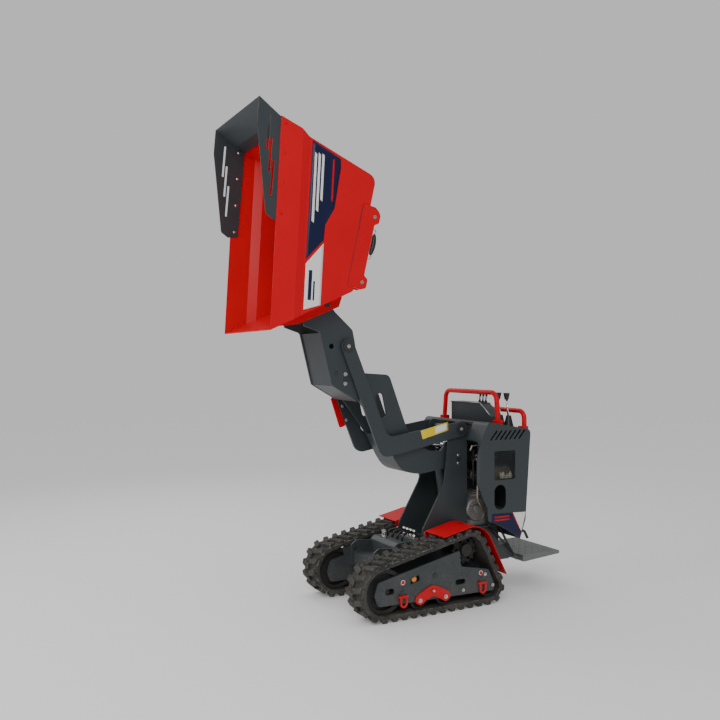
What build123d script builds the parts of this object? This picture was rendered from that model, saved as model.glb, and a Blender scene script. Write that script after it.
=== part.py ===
from build123d import *
import os
from math import atan2, cos, degrees, hypot, pi, radians, sin, sqrt

os.makedirs("parts", exist_ok=True)

# Frame: millimetres, +X forward, +Y left, +Z up. The ground is z = 0 and the middle of the machine x = 0.
# Side outlines are lists of (x, z) points, drawn as the machine stands in the photo: raised and tipped.

# Tracks
TRACK_INNER = 220.0
TRACK_WIDTH = 180.0
FRONT_IDLER = (351.5, 180.0)
SPROCKET = (-263.5, 355.0)
REAR_IDLER = (-418.5, 112.0)
SPROCKET_TIP_R = 137.0
BELT = 22.0
LUG_HEIGHT = 22.0
LUG_COUNT = 36
LUG_BASE = 46.0
LUG_TIP = 31.0
LUG_SLANT = 0.28
LUG_EDGE = 4.0
LUG_MIDDLE_GAP = 12.0

# Lift linkage: elbow arm A to D and inner arm B to C make a true parallelogram, P is the skip's hinge
PIVOT_A = (-353.0, 1102.0)
PIVOT_D = (485.0, 1638.0)
LINK_DROP = 198.0
HINGE_REACH = (140.0, 250.0)
LIFT_TURN = 66.0
SKIP_TIP = 77.0
LIFT_BASE_REACH = (-4.5, 149.5)
LIFT_EYE = (70.0, 88.0)
TILT_BASE_REACH = (71.0, -160.0)
TILT_EYE = (-112.0, 45.0)

# Steel
PLATE = 12.0
ARM_PLATE = 18.0
ELBOW_PLATE = 16.0
SHEET = 4.0
PIN_PLAY = 0.1
SIDE_PLAY = 5.0
PIN_A = 22.0
PIN_B = 20.0
PIN_C = 20.0
PIN_D = 22.0
PIN_P = 18.0
PIN_CYL = 15.0
CHASSIS_LOW = 165.0
CHASSIS_TOP = 300.0

# Skip
BAND_DEPTH = 137.0
JOGGLE = 57.0
BAND_STEP = 24.0
REAR_STEP = 11.0
SIDE_LEAN = 23.0
SKIP_SHEET = 4.0

# Canopy, handles and step
CANOPY_SHEET = 3.0
HANDLE_R = 16.0
STEP_HALF = 230.0
STEP_TOP = 230.0

# Sizes that follow
TRACK_OUTER = TRACK_INNER + TRACK_WIDTH
FRAME_OUT = TRACK_OUTER - 16.0
FRAME_IN = TRACK_INNER + 18.0
PLATE_OUT = TRACK_INNER - 70.0
PLATE_IN = PLATE_OUT - PLATE
ELBOW_IN = PLATE_OUT + SIDE_PLAY
ELBOW_OUT = ELBOW_IN + ELBOW_PLATE
INNER_ARM_OUT = PLATE_IN - 20.0
ARM_IN = INNER_ARM_OUT - ARM_PLATE
FENDER_IN = ELBOW_OUT + 9.0
SKIP_HALF = TRACK_OUTER - 25.0
BODY_HALF = SKIP_HALF - BAND_STEP
FLOOR_HALF = BODY_HALF - SIDE_LEAN
CANOPY_HALF = TRACK_OUTER - 40.0
CANOPY_IN = CANOPY_HALF - CANOPY_SHEET


def shifted(point, by):
    """Side point moved by (x, z)."""
    return (point[0] + by[0], point[1] + by[1])


PIVOT_B = shifted(PIVOT_A, (0, -LINK_DROP))
PIVOT_C = shifted(PIVOT_D, (0, -LINK_DROP))
PIVOT_P = shifted(PIVOT_D, HINGE_REACH)
LIFT_BASE = shifted((PIVOT_A[0], CHASSIS_TOP), LIFT_BASE_REACH)
LIFT_PIN = shifted(PIVOT_B, LIFT_EYE)
TILT_BASE = shifted(PIVOT_D, TILT_BASE_REACH)
TILT_PIN = shifted(PIVOT_P, TILT_EYE)


def side(y):
    """Plane seen from the machine's left, with x forward and z up, at this y."""
    return Plane(origin=(0, y, 0), x_dir=(1, 0, 0), z_dir=(0, -1, 0))


def spread(face, low, high):
    """A side outline carried across the machine from y = low to y = high."""
    return extrude(side(high) * face, amount=high - low, dir=(0, -1, 0))


def outline(points, radius=0):
    """Face inside a closed polyline whose corners have the given radius or radii."""
    if radius == 0:
        return make_face(Polyline(*points, close=True))
    return make_face(FilletPolyline(*points, radius=radius, close=True))


def plate(points, low, high, radius=0):
    """Plate with a side outline, between two y values."""
    return spread(outline(points, radius), low, high)


def bar(point, radius, low, high):
    """Round bar along y."""
    return spread(Pos(*point) * Circle(radius), low, high)


def block(x0, x1, y0, y1, z0, z1):
    """Box between the given limits."""
    size = Box(x1 - x0, y1 - y0, z1 - z0)
    return Pos((x0 + x1) / 2, (y0 + y1) / 2, (z0 + z1) / 2) * size


def tube(points, radius, bend):
    """Bent round tube through 3-D points."""
    path = FilletPolyline(*points, radius=bend)
    start = Plane(origin=path @ 0, z_dir=path % 0)
    return sweep(start * Circle(radius), path=path)


def rod(start, end, radius):
    """Round bar between two 3-D points."""
    way = Vector(*end) - Vector(*start)
    return extrude(Plane(origin=start, z_dir=way) * Circle(radius), amount=way.length)


def flip(shape):
    """The same shape on the machine's other side."""
    return mirror(shape, about=Plane.XZ)


def both(shape):
    """A shape and its mirror image in one node."""
    return Part() + [shape, flip(shape)]


def toward(start, end):
    """Unit vector and distance from one side point to another."""
    dx, dz = end[0] - start[0], end[1] - start[1]
    length = hypot(dx, dz)
    return (dx / length, dz / length), length


def along(start, end, forward, right=0.0):
    """Side point at a distance from start towards end, and to the right of that way."""
    (ux, uz), _ = toward(start, end)
    return (start[0] + ux * forward + uz * right, start[1] + uz * forward - ux * right)


def turned(way, angle):
    """Side vector turned counter-clockwise, as seen from the machine's left with x to the right."""
    c, s = cos(radians(angle)), sin(radians(angle))
    return (way[0] * c - way[1] * s, way[0] * s + way[1] * c)


def chain(origin, offsets):
    """Side points given as offsets from one point."""
    return [shifted(origin, by) for by in offsets]


def on_link(start, end, shares):
    """Side points given as shares of a link's length and distances to the right of it."""
    length = toward(start, end)[1]
    return [along(start, end, share * length, right) for share, right in shares]


def save(name, shape):
    """Write one node as a STEP file."""
    export_step(shape, f"parts/{name}.step")


# Track loop: the convex line round three wheels
WHEELS = [
    (FRONT_IDLER, FRONT_IDLER[1]),
    (SPROCKET, SPROCKET_TIP_R),
    (REAR_IDLER, REAR_IDLER[1]),
]


def loop_runs(inset):
    """Straight runs of the loop set in by inset: start, end and outward normal of each."""
    runs = []
    for index, (centre, tip) in enumerate(WHEELS):
        following, next_tip = WHEELS[(index + 1) % len(WHEELS)]
        (ux, uz), length = toward(centre, following)
        lean = (tip - next_tip) / length
        square = sqrt(1 - lean * lean)
        normal = (lean * ux + square * uz, lean * uz - square * ux)
        start = (centre[0] + normal[0] * (tip - inset), centre[1] + normal[1] * (tip - inset))
        end = (
            following[0] + normal[0] * (next_tip - inset),
            following[1] + normal[1] * (next_tip - inset),
        )
        runs.append((start, end, normal))
    return runs


def wrap_angle(first, second):
    """Angle turned from one normal to the next, counter-clockwise."""
    return (atan2(second[1], second[0]) - atan2(first[1], first[0])) % (2 * pi)


def loop_face(inset):
    """Face inside the loop that lies inset within the lug tips."""
    runs = loop_runs(inset)
    edges = []
    for index, (start, end, normal) in enumerate(runs):
        edges.append(Line(start, end))
        centre, tip = WHEELS[(index + 1) % len(WHEELS)]
        after = runs[(index + 1) % len(runs)]
        middle = atan2(normal[1], normal[0]) + wrap_angle(normal, after[2]) / 2
        reach = tip - inset
        top = (centre[0] + cos(middle) * reach, centre[1] + sin(middle) * reach)
        edges.append(ThreePointArc(end, top, after[0]))
    return make_face(edges)


def loop_stations(inset, count, shift):
    """Evenly spaced points on the loop, each with its outward normal."""
    runs = loop_runs(inset)
    pieces = []
    for index, (start, end, normal) in enumerate(runs):
        pieces.append((toward(start, end)[1], start, end, normal, None))
        centre, tip = WHEELS[(index + 1) % len(WHEELS)]
        turn = wrap_angle(normal, runs[(index + 1) % len(runs)][2])
        pieces.append((turn * (tip - inset), centre, tip - inset, normal, turn))
    total = sum(piece[0] for piece in pieces)
    stations = []
    for number in range(count):
        distance = (number + shift) * total / count
        for length, start, end, normal, turn in pieces:
            if distance <= length:
                break
            distance -= length
        if turn is None:
            spot = along(start, end, distance)
            facing = normal
        else:
            angle = atan2(normal[1], normal[0]) + turn * distance / length
            facing = (cos(angle), sin(angle))
            spot = (start[0] + facing[0] * end, start[1] + facing[1] * end)
        stations.append((spot, facing))
    return stations


def lug(station, start, finish):
    """Slanted tread block at a station, from y = start to y = finish."""
    (x, z), (nx, nz) = station
    tx, tz = -nz, nx
    sink = 5.0
    corners = []
    for half, rise in ((-LUG_BASE, -sink), (LUG_BASE, -sink), (LUG_TIP, LUG_HEIGHT), (-LUG_TIP, LUG_HEIGHT)):
        corners.append((x + tx * half / 2 + nx * rise, z + tz * half / 2 + nz * rise))
    way = 1 if finish > start else -1
    direction = Vector(tx * LUG_SLANT, way, tz * LUG_SLANT)
    width = abs(finish - start)
    back = -LUG_SLANT * width / 2
    block_face = Pos(tx * back, tz * back) * outline(corners)
    return extrude(side(start) * block_face, amount=width * direction.length, dir=direction.normalized())


belt_middle = (TRACK_OUTER + TRACK_INNER) / 2
belt_ring = loop_face(LUG_HEIGHT) - loop_face(LUG_HEIGHT + BELT)
lugs = []
for station in loop_stations(LUG_HEIGHT, LUG_COUNT, 0.25):
    lugs.append(lug(station, belt_middle + LUG_MIDDLE_GAP / 2, TRACK_OUTER - LUG_EDGE))
for station in loop_stations(LUG_HEIGHT, LUG_COUNT, 0.75):
    lugs.append(lug(station, belt_middle - LUG_MIDDLE_GAP / 2, TRACK_INNER + LUG_EDGE))
track = Part() + [spread(belt_ring, TRACK_INNER, TRACK_OUTER), *lugs]
track -= block(REAR_IDLER[0] - 250, FRONT_IDLER[0] + 350, TRACK_INNER, TRACK_OUTER, -40, 0)
save("track_left", track)
save("track_right", flip(track))

# Running gear inside the loop: two frame plates with wheels between them
WHEEL_LOW = FRAME_IN + PLATE + 4
WHEEL_HIGH = FRAME_OUT - PLATE - 4
inner_reach = LUG_HEIGHT + BELT
frame_points = chain(FRONT_IDLER, [(50, -80), (74, -13), (50, 62)])
frame_points += chain(SPROCKET, [(74, 12), (66, -89)])
frame_points += chain(REAR_IDLER, [(4, 112), (-40, 9), (-36, -28), (90, -24)])
frame_face = outline(frame_points, [30, 20, 30, 12, 25, 30, 20, 15, 40])
idler_slot = outline(chain(FRONT_IDLER, [(-62, -18), (-62, 18), (0, 18), (0, -18)]), 17)
plug_hole = outline(chain(FRONT_IDLER, [(-242, 38), (-242, 74), (-176, 60), (-176, 24)]), 6)
long_slot = outline(chain(REAR_IDLER, [(186, 44), (186, 76), (262, 76), (262, 44)]), 15)
frame_outer = spread(frame_face - [idler_slot, plug_hole, long_slot], FRAME_OUT - PLATE, FRAME_OUT)
run_front, run_rear, run_normal = loop_runs(inner_reach + 8)[0]
skid_top = [along(run_front, run_rear, 70), along(run_rear, run_front, 130)]
skid_foot = [shifted(point, (run_normal[0] * -90, run_normal[1] * -90)) for point in reversed(skid_top)]
skid_face = outline(skid_top + skid_foot, [20, 20, 0, 0])
frame_inner = spread(frame_face + skid_face, FRAME_IN, FRAME_IN + PLATE)
motor_points = [(110, -37), (66, -89), (-100, -118), (-84, -25), (-30, 72), (30, 76), (80, 30)]
motor_points = chain(SPROCKET, motor_points)
motor_plate = plate(motor_points, FRAME_IN, FRAME_IN + PLATE, [10, 10, 10, 30, 35, 35, 20])
spacer_spots = [
    shifted(FRONT_IDLER, (-166, 34)), shifted(SPROCKET, (140, -105)), shifted(REAR_IDLER, (104, 52)),
]
spacers = [bar(spot, 22, FRAME_IN + PLATE, FRAME_OUT - PLATE) for spot in spacer_spots]
track_frame = Part() + [frame_outer, frame_inner, motor_plate, *spacers]
save("track_frame_left", track_frame)
save("track_frame_right", flip(track_frame))


def wheel(centre, radius, hub, dish):
    """Flanged wheel, dished on both sides, on an axle that meets both frame plates."""
    body = bar(centre, radius, WHEEL_LOW, WHEEL_HIGH)
    body -= bar(centre, radius - dish, WHEEL_HIGH - 22, WHEEL_HIGH)
    body -= bar(centre, radius - dish, WHEEL_LOW, WHEEL_LOW + 22)
    body += bar(centre, hub, FRAME_IN + PLATE, FRAME_OUT - PLATE)
    return body


front_idler = wheel(FRONT_IDLER, FRONT_IDLER[1] - inner_reach, 34, 26)
rear_idler = wheel(REAR_IDLER, REAR_IDLER[1] - inner_reach, 26, 18)
save("front_idlers", both(front_idler))
save("rear_idlers", both(rear_idler))
BOGIE_PIN = (17.5, 149.0)
ROLLER_REACH = 93.5
ROLLER_HEIGHT = 100.0
roller_spots = [(BOGIE_PIN[0] + reach, ROLLER_HEIGHT) for reach in (ROLLER_REACH, -ROLLER_REACH)]
rollers = Part() + [wheel(spot, ROLLER_HEIGHT - inner_reach, 20, 14) for spot in roller_spots]
save("rollers", both(rollers))

SPROCKET_TEETH = 13
sprocket_root = SPROCKET_TIP_R - inner_reach - 14
tooth = outline([(30, -13), (sprocket_root + 13, -6), (sprocket_root + 13, 6), (30, 13)])
teeth = [Pos(*SPROCKET) * Rot(0, 0, 360 / SPROCKET_TEETH * n) * tooth for n in range(SPROCKET_TEETH)]
windows = [Pos(*shifted(SPROCKET, turned((sprocket_root - 18, 0), 60 * n))) * Circle(11) for n in range(6)]
sprocket_face = Pos(*SPROCKET) * Circle(sprocket_root)
sprocket_face = sprocket_face + teeth
sprocket_face = sprocket_face - windows
sprocket = spread(sprocket_face, belt_middle - 18, belt_middle + 18)
sprocket += bar(SPROCKET, 44, FRAME_IN + PLATE, belt_middle)
sprocket += bar(SPROCKET, 40, belt_middle, belt_middle + 46)
save("sprockets", both(sprocket))
save("drive_motors", both(bar(SPROCKET, 52, FENDER_IN + 6, FRAME_IN)))

bogie_points = [(-131, -54), (-118, -20), (-58, 12), (0, 34), (58, 12), (118, -20), (131, -54)]
bogie_points += [(93, -80), (54, -56), (0, -30), (-54, -56), (-93, -80)]
bogie_radii = [18, 20, 30, 30, 30, 20, 18, 22, 25, 40, 25, 22]
bogie = plate(chain(BOGIE_PIN, bogie_points), FRAME_OUT, FRAME_OUT + 10, bogie_radii)
bogie += bar(BOGIE_PIN, 15, FRAME_OUT + 10, FRAME_OUT + 15)
save("bogies", both(bogie))

# Tie-down shackles hang on a stud in each frame plate
SHACKLE_R = 7.5
SHACKLE_GAP = 40.0
SHACKLE_DROP = 60.0
shackles = []
for spot in (shifted(FRONT_IDLER, (-124, -40)), shifted(REAR_IDLER, (57, 33))):
    face = FRAME_OUT + SHACKLE_R + 0.5
    half_gap = SHACKLE_GAP / 2
    legs = [(-half_gap, 0), (-half_gap, -SHACKLE_DROP), (half_gap, -SHACKLE_DROP), (half_gap, 0)]
    bow = tube([(x, face, z) for x, z in chain(spot, legs)], SHACKLE_R, half_gap - 0.5)
    stud = bar(spot, 9, FRAME_OUT, face + 5)
    pin = rod((spot[0] - half_gap - 9, face, spot[1]), (spot[0] + half_gap + 16, face, spot[1]), SHACKLE_R)
    shackles.append(bow + stud + pin)
save("tie_shackles", Part() + shackles + [flip(shackle) for shackle in shackles])

# Chassis between the tracks
CHASSIS_FRONT = 150.0
CHASSIS_REAR = -600.0
TAIL_REAR = -770.0
DECK_RISE = 145.0
DECK_FRONT = PIVOT_A[0] - 72
DECK_REAR = DECK_FRONT - 255
chassis = block(CHASSIS_REAR, CHASSIS_FRONT, -PLATE_OUT, PLATE_OUT, CHASSIS_LOW, CHASSIS_TOP)
chassis -= block(
    CHASSIS_REAR + PLATE, CHASSIS_FRONT - PLATE, -PLATE_IN, PLATE_IN, CHASSIS_LOW, CHASSIS_TOP - PLATE
)
for beam in (CHASSIS_FRONT - 60, SPROCKET[0] + 14):
    chassis += block(beam - 35, beam + 35, -FRAME_IN, FRAME_IN, CHASSIS_LOW + 10, CHASSIS_LOW + 70)
chassis += block(TAIL_REAR, CHASSIS_REAR, -PLATE_OUT, PLATE_OUT, CHASSIS_TOP - 100, CHASSIS_TOP)
deck_low = CHASSIS_TOP + DECK_RISE
DECK = deck_low + 8
DECK_HALF = PLATE_OUT + 46
rail = block(DECK_REAR, DECK_FRONT, PLATE_IN, PLATE_OUT, CHASSIS_TOP, deck_low)
chassis += [rail, flip(rail), block(DECK_REAR, DECK_FRONT, -DECK_HALF, DECK_HALF, deck_low, DECK)]
NOSE = 150.0
nose_points = [
    (CHASSIS_FRONT, CHASSIS_TOP - 80), (CHASSIS_FRONT + NOSE, CHASSIS_TOP - 80),
    (CHASSIS_FRONT + NOSE, CHASSIS_TOP + 50), (CHASSIS_FRONT + NOSE - 40, CHASSIS_TOP + 80),
    (CHASSIS_FRONT, CHASSIS_TOP + 70),
]
cheek = plate(nose_points, PLATE_IN, PLATE_OUT, [0, 10, 18, 18, 0])
cheek -= bar((CHASSIS_FRONT + NOSE - 32, CHASSIS_TOP + 18), 13, PLATE_IN, PLATE_OUT)
shelf = block(CHASSIS_FRONT, CHASSIS_FRONT + NOSE - 24, -PLATE_IN, PLATE_IN, CHASSIS_TOP - PLATE, CHASSIS_TOP)
shelf += block(
    CHASSIS_FRONT + NOSE - 36, CHASSIS_FRONT + NOSE - 24, -PLATE_IN, PLATE_IN,
    CHASSIS_TOP - 70, CHASSIS_TOP - PLATE,
)
chassis += [cheek, flip(cheek), shelf]
save("chassis_frame", chassis)

COVER_RISE = 98.0
COVER_REAR = -30.0
cover_points = [
    (CHASSIS_FRONT, CHASSIS_TOP), (CHASSIS_FRONT, CHASSIS_TOP + COVER_RISE - 22),
    (CHASSIS_FRONT - 30, CHASSIS_TOP + COVER_RISE), (COVER_REAR, CHASSIS_TOP + COVER_RISE),
    (COVER_REAR, CHASSIS_TOP),
]
cover_face = outline(cover_points, [0, 12, 12, 0, 0])
cover = spread(cover_face, -PLATE_OUT, PLATE_OUT)
cover -= spread(Pos(-SHEET, -SHEET) * cover_face, -PLATE_OUT + SHEET, PLATE_OUT - SHEET)
save("front_cover", cover)
valve = block(COVER_REAR - 52, COVER_REAR - 6, -80, 80, CHASSIS_TOP, CHASSIS_TOP + 96)
for spool in (-60, -20, 20, 60):
    valve += Pos(COVER_REAR - 29, spool, CHASSIS_TOP + 96 + 10) * Cylinder(12, 20)
save("valve_block", valve)

# Tower that carries the linkage, with the lift cylinder's base pin
BOSS_A = 50.0
BOSS_B = 50.0
TOWER_REAR = PIVOT_A[0] - 65
TOWER_FOOT = PIVOT_A[0] + 290
tower_points = [
    (TOWER_FOOT - 40, CHASSIS_TOP), (TOWER_FOOT, CHASSIS_TOP + 130), (TOWER_FOOT - 6, CHASSIS_TOP + 168),
    *chain(PIVOT_A, [(130, -372), (114, -320), (86, -60), (BOSS_A - 1, 0), (-BOSS_A, 0), (-65, -80)]),
    (TOWER_REAR, CHASSIS_TOP),
]
tower_face = outline(tower_points, [0, 15, 15, 60, 60, 40, 0, 0, 30, 0])
tower_face = tower_face + [Pos(*PIVOT_A) * Circle(BOSS_A)]
tower_face = tower_face - [
    Pos(*PIVOT_A) * Circle(PIN_A + PIN_PLAY),
    Pos(*PIVOT_B) * Circle(PIN_B + PIN_PLAY),
]
tower = spread(tower_face, PLATE_IN, PLATE_OUT)
tower_back = block(TOWER_REAR, TOWER_REAR + PLATE, -PLATE_IN, PLATE_IN, CHASSIS_TOP, LIFT_BASE[1] - 50)
tower_web = block(TOWER_FOOT - 67, TOWER_FOOT - 55, -PLATE_IN, PLATE_IN, CHASSIS_TOP, CHASSIS_TOP + 110)
base_pin = bar(LIFT_BASE, PIN_CYL, -PLATE_OUT, PLATE_OUT)

# Fenders follow the belt: along the upper run, round the sprocket and down the rear run
FENDER_GAP = 9.0
FENDER_REAR_GAP = 30.0
FENDER_FRONT = 176.0
FENDER_LIP = 40.0


def fender_marks(lift):
    """Five points of the fender's line, raised off the belt by lift more than its gap."""
    upper_start, upper_end, upper_normal = loop_runs(-FENDER_GAP - lift)[0]
    rear_start, rear_end, rear_normal = loop_runs(-FENDER_REAR_GAP - lift)[1]
    front = along(upper_end, upper_start, FENDER_FRONT)
    middle = atan2(upper_normal[1], upper_normal[0]) + wrap_angle(upper_normal, rear_normal) / 2
    reach = SPROCKET_TIP_R + (FENDER_GAP + FENDER_REAR_GAP) / 2 + lift
    crown = shifted(SPROCKET, (cos(middle) * reach, sin(middle) * reach))
    return front, upper_end, crown, rear_start, rear_end


def fender_strip(low, high):
    """Face between two fender lines."""
    a, b, c, d, e = fender_marks(low)
    p, q, r, s, t = fender_marks(high)
    inner = [Line(a, b), ThreePointArc(b, c, d), Line(d, e)]
    outer = [Line(t, s), ThreePointArc(s, r, q), Line(q, p)]
    return make_face([*inner, Line(e, t), *outer, Line(p, a)])


fender = spread(fender_strip(0, SHEET), FENDER_IN, TRACK_OUTER)
fender += spread(fender_strip(-FENDER_LIP, SHEET), FENDER_IN, FENDER_IN + SHEET)
save("fender_left", fender)
save("fender_right", flip(fender))
lip_start, lip_end, _ = loop_runs(-FENDER_GAP + 20)[0]
fender_arm = bar(along(lip_end, lip_start, 50), 9, PLATE_OUT, FENDER_IN)
save("tower", Part() + [tower, flip(tower), tower_back, tower_web, base_pin, fender_arm, flip(fender_arm)])

# Elbow arms outside the tower and head plates
BOSS_D = 45.0
(ELBOW_THROAT, ELBOW_CORNER) = on_link(PIVOT_A, PIVOT_D, [(0.456, 326), (0.424, 458)])
elbow_points = [
    shifted(PIVOT_A, (0, 1 - BOSS_A)), ELBOW_CORNER,
    along(PIVOT_D, ELBOW_CORNER, 0, 1 - BOSS_D), along(PIVOT_D, ELBOW_CORNER, 0, BOSS_D - 1),
    ELBOW_THROAT, shifted(PIVOT_A, (0, BOSS_A - 1)),
]
elbow_face = outline(elbow_points, [0, 70, 0, 0, 60, 0])
elbow_face = elbow_face + [Pos(*PIVOT_A) * Circle(BOSS_A), Pos(*PIVOT_D) * Circle(BOSS_D)]
elbow_face = elbow_face - [Pos(*PIVOT_A) * Circle(PIN_A), Pos(*PIVOT_D) * Circle(PIN_D)]
elbow = spread(elbow_face, ELBOW_IN, ELBOW_OUT)
save("elbow_left", elbow)
save("elbow_right", flip(elbow))
CAP = 8.0


def shaft(point, radius):
    """Through shaft of the elbows with a wider cap outside each."""
    body = bar(point, radius, -ELBOW_OUT, ELBOW_OUT)
    end = bar(point, radius + 12, ELBOW_OUT, ELBOW_OUT + CAP)
    return Part() + [body, end, flip(end)]


save("lift_shafts", Part() + [shaft(PIVOT_A, PIN_A), shaft(PIVOT_D, PIN_D)])
prop_marks = [(0.27, 12), (0.27, 56), (0.55, 56), (0.55, 12)]
prop = plate(on_link(ELBOW_CORNER, PIVOT_D, prop_marks), ELBOW_OUT, ELBOW_OUT + 8, 12)
save("safety_prop", flip(prop))

# Inner arm: two plates and a rolled sheet under them
BOSS_C = 44.0
BOSS_EYE = 27.0
BELLY_R = 150.0
rolled = on_link(PIVOT_B, PIVOT_C, [(0.2015, 230), (0.3268, 277), (0.4214, 237), (0.5635, 159)])
arm_points = [
    shifted(PIVOT_B, (0, 1 - BOSS_B)), *rolled,
    *on_link(PIVOT_B, PIVOT_C, [(0.94, 24)]),
    shifted(PIVOT_C, (0, 1 - BOSS_C)), shifted(PIVOT_C, (0, BOSS_C - 1)),
    *on_link(PIVOT_B, PIVOT_C, [(0.741, -191), (0.471, 8), (0.339, 90), (0.2, 56)]),
    shifted(PIVOT_B, (0, BOSS_B - 1)),
]
arm_face = outline(arm_points, [0, 300, BELLY_R, 300, 60, 10, 0, 0, 45, 60, 40, 40, 0])
eye_plate = outline(chain(PIVOT_B, [(12, 30), (44, 96), (97, 88), (160, 20)]))
arm_face = arm_face + [
    Pos(*PIVOT_B) * Circle(BOSS_B), Pos(*PIVOT_C) * Circle(BOSS_C),
    Pos(*LIFT_PIN) * Circle(BOSS_EYE), eye_plate,
]
arm_face = arm_face - [
    Pos(*PIVOT_B) * Circle(PIN_B),
    Pos(*PIVOT_C) * Circle(PIN_C + PIN_PLAY),
    Pos(*LIFT_PIN) * Circle(PIN_CYL),
    outline(on_link(PIVOT_B, PIVOT_C, [(0.651, 80), (0.611, 37), (0.721, -73), (0.763, -30)]), 22),
]
inner_plate = spread(arm_face, ARM_IN, INNER_ARM_OUT)
sheet_marks = [(0.262, 253), (0.3268, 277), (0.4214, 237), (0.5635, 159)]
sheet_inside = [(0.5635, 147), (0.4214, 225), (0.3268, 265), (0.262, 241)]
sheet_points = on_link(PIVOT_B, PIVOT_C, sheet_marks + sheet_inside)
rolled_sheet = plate(sheet_points, -ARM_IN, ARM_IN, [0, BELLY_R, 300, 0, 0, 288, BELLY_R - 12, 0])
save("inner_arm", Part() + [inner_plate, flip(inner_plate), rolled_sheet])
eye_stub = bar(LIFT_PIN, PIN_CYL, ARM_IN, INNER_ARM_OUT + 4)
save("arm_pins", Part() + [bar(PIVOT_B, PIN_B, -PLATE_OUT, PLATE_OUT), eye_stub, flip(eye_stub)])

# Head box between the elbows, with ears for the skip's hinge
BOSS_P = 25.0
head_points = [
    *chain(PIVOT_D, [(-55, 30), (-40, 100), (79, 206)]),
    *chain(PIVOT_P, [(-BOSS_P + 1, 0), (BOSS_P - 1, 0), (48, -60)]),
    *chain(PIVOT_D, [(292, 140), (284, 118), (181, 85), (100, -238), (-83, -343), (-81, -140)]),
]
head_face = outline(head_points, [20, 30, 12, 0, 0, 20, 8, 8, 30, 20, 12, 40])
head_face = head_face + [Pos(*PIVOT_P) * Circle(BOSS_P), Pos(*PIVOT_D) * Circle(BOSS_D - 2)]
LOCK_HOLE = shifted(PIVOT_D, (104, 0))
head_face = head_face - [
    Pos(*PIVOT_D) * Circle(PIN_D + PIN_PLAY),
    Pos(*PIVOT_C) * Circle(PIN_C),
    Pos(*PIVOT_P) * Circle(PIN_P),
    Pos(*TILT_BASE) * Circle(PIN_CYL),
    Pos(*LOCK_HOLE) * Circle(16),
]
head_plate = spread(head_face, PLATE_IN, PLATE_OUT)
head_front = plate(chain(PIVOT_D, [(172, 80), (94, -236), (86, -234), (164, 82)]), -PLATE_IN, PLATE_IN)
head_floor = plate(chain(PIVOT_D, [(93, -239), (-78, -338), (-82, -331), (90, -232)]), -PLATE_IN, PLATE_IN)
save("head_box", Part() + [head_plate, flip(head_plate), head_front, head_floor])
head_pins = [
    bar(PIVOT_C, PIN_C, -PLATE_OUT - 3, PLATE_OUT + 3),
    bar(TILT_BASE, PIN_CYL, -PLATE_OUT, PLATE_OUT),
    bar(PIVOT_P, PIN_P, -ELBOW_OUT, ELBOW_OUT),
]
save("head_pins", Part() + head_pins)

# Skip, drawn with its floor level about the hinge and then tipped
RIM_FRONT = (268.0, 404.0)
RIM_REAR = (-905.0, 605.0)
FLOOR_FRONT = (-87.0, -67.0)
FLOOR_REAR = (-797.0, -67.0)


def tipped(shape):
    """A skip piece turned from level about the hinge into the photo's pose."""
    return Pos(PIVOT_P[0], 0, PIVOT_P[1]) * Rot(0, SKIP_TIP, 0) * shape


(rim_x, rim_z), RIM_LENGTH = toward(RIM_FRONT, RIM_REAR)
rim_plane = Plane(origin=(RIM_FRONT[0], 0, RIM_FRONT[1]), x_dir=(0, 1, 0), z_dir=(rim_x, 0, rim_z))


def skip_bar(inset, start):
    """Long bar with the skip's cross-section, set in by inset and starting start below the rim."""
    half = [
        (SKIP_HALF - inset, start), (SKIP_HALF - inset, BAND_DEPTH + inset * 0.2),
        (BODY_HALF - inset, BAND_DEPTH + JOGGLE + inset * 0.2), (FLOOR_HALF - inset, 760),
    ]
    section = half + [(-y, s) for y, s in reversed(half)]
    return extrude(rim_plane.offset(-200) * outline(section), amount=RIM_LENGTH + 400, dir=(rim_x, 0, rim_z))


rear_wall = (RIM_REAR, FLOOR_REAR)
front_wall = (FLOOR_FRONT, RIM_FRONT)
skip_side = outline(
    [
        along(*rear_wall, -200), along(*rear_wall, BAND_DEPTH),
        along(*rear_wall, BAND_DEPTH + JOGGLE, -REAR_STEP), shifted(FLOOR_REAR, (REAR_STEP, 0)),
        FLOOR_FRONT, along(*front_wall, 760),
    ],
    [0, 0, 0, 55, 30, 0],
)
skip_outer = spread(skip_side, -TRACK_OUTER, TRACK_OUTER) & skip_bar(0, 0)
skip_hollow = spread(offset(skip_side, -SKIP_SHEET), -TRACK_OUTER, TRACK_OUTER) & skip_bar(SKIP_SHEET, -60)
save("skip_shell", tipped(skip_outer - skip_hollow))

# Slotted guard on the rear of the rim: a wing inside each band and a panel between them
BAND_IN = SKIP_HALF - SKIP_SHEET
GUARD_LAP = 70.0
guard_low = along(RIM_REAR, RIM_FRONT, 580, -16)
guard_bend = along(RIM_REAR, RIM_FRONT, 66, -138)
guard_top = along(RIM_REAR, RIM_FRONT, -82, -134)
lap_low = along(*rear_wall, GUARD_LAP, -SKIP_SHEET)
lap_high = along(*rear_wall, 0, -SKIP_SHEET)
wing_points = [
    along(RIM_REAR, RIM_FRONT, 570, 50), guard_low, along(RIM_REAR, RIM_FRONT, 552, -62),
    guard_bend, guard_top,
    lap_high, lap_low,
]
wing = plate(wing_points, BAND_IN - SHEET, BAND_IN, [15, 10, 20, 60, 0, 0, 0])
SLIT = 195.0
for start, rise in ((8, 72), (131, 55), (254, 37)):
    slit = [(start, rise), (start + SLIT, rise + 6), (start + SLIT, rise - 7), (start, rise - 13)]
    slit_points = [along(RIM_REAR, RIM_FRONT, forward, -up) for forward, up in slit]
    wing -= plate(slit_points, BAND_IN - SHEET, BAND_IN, 5)
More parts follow.
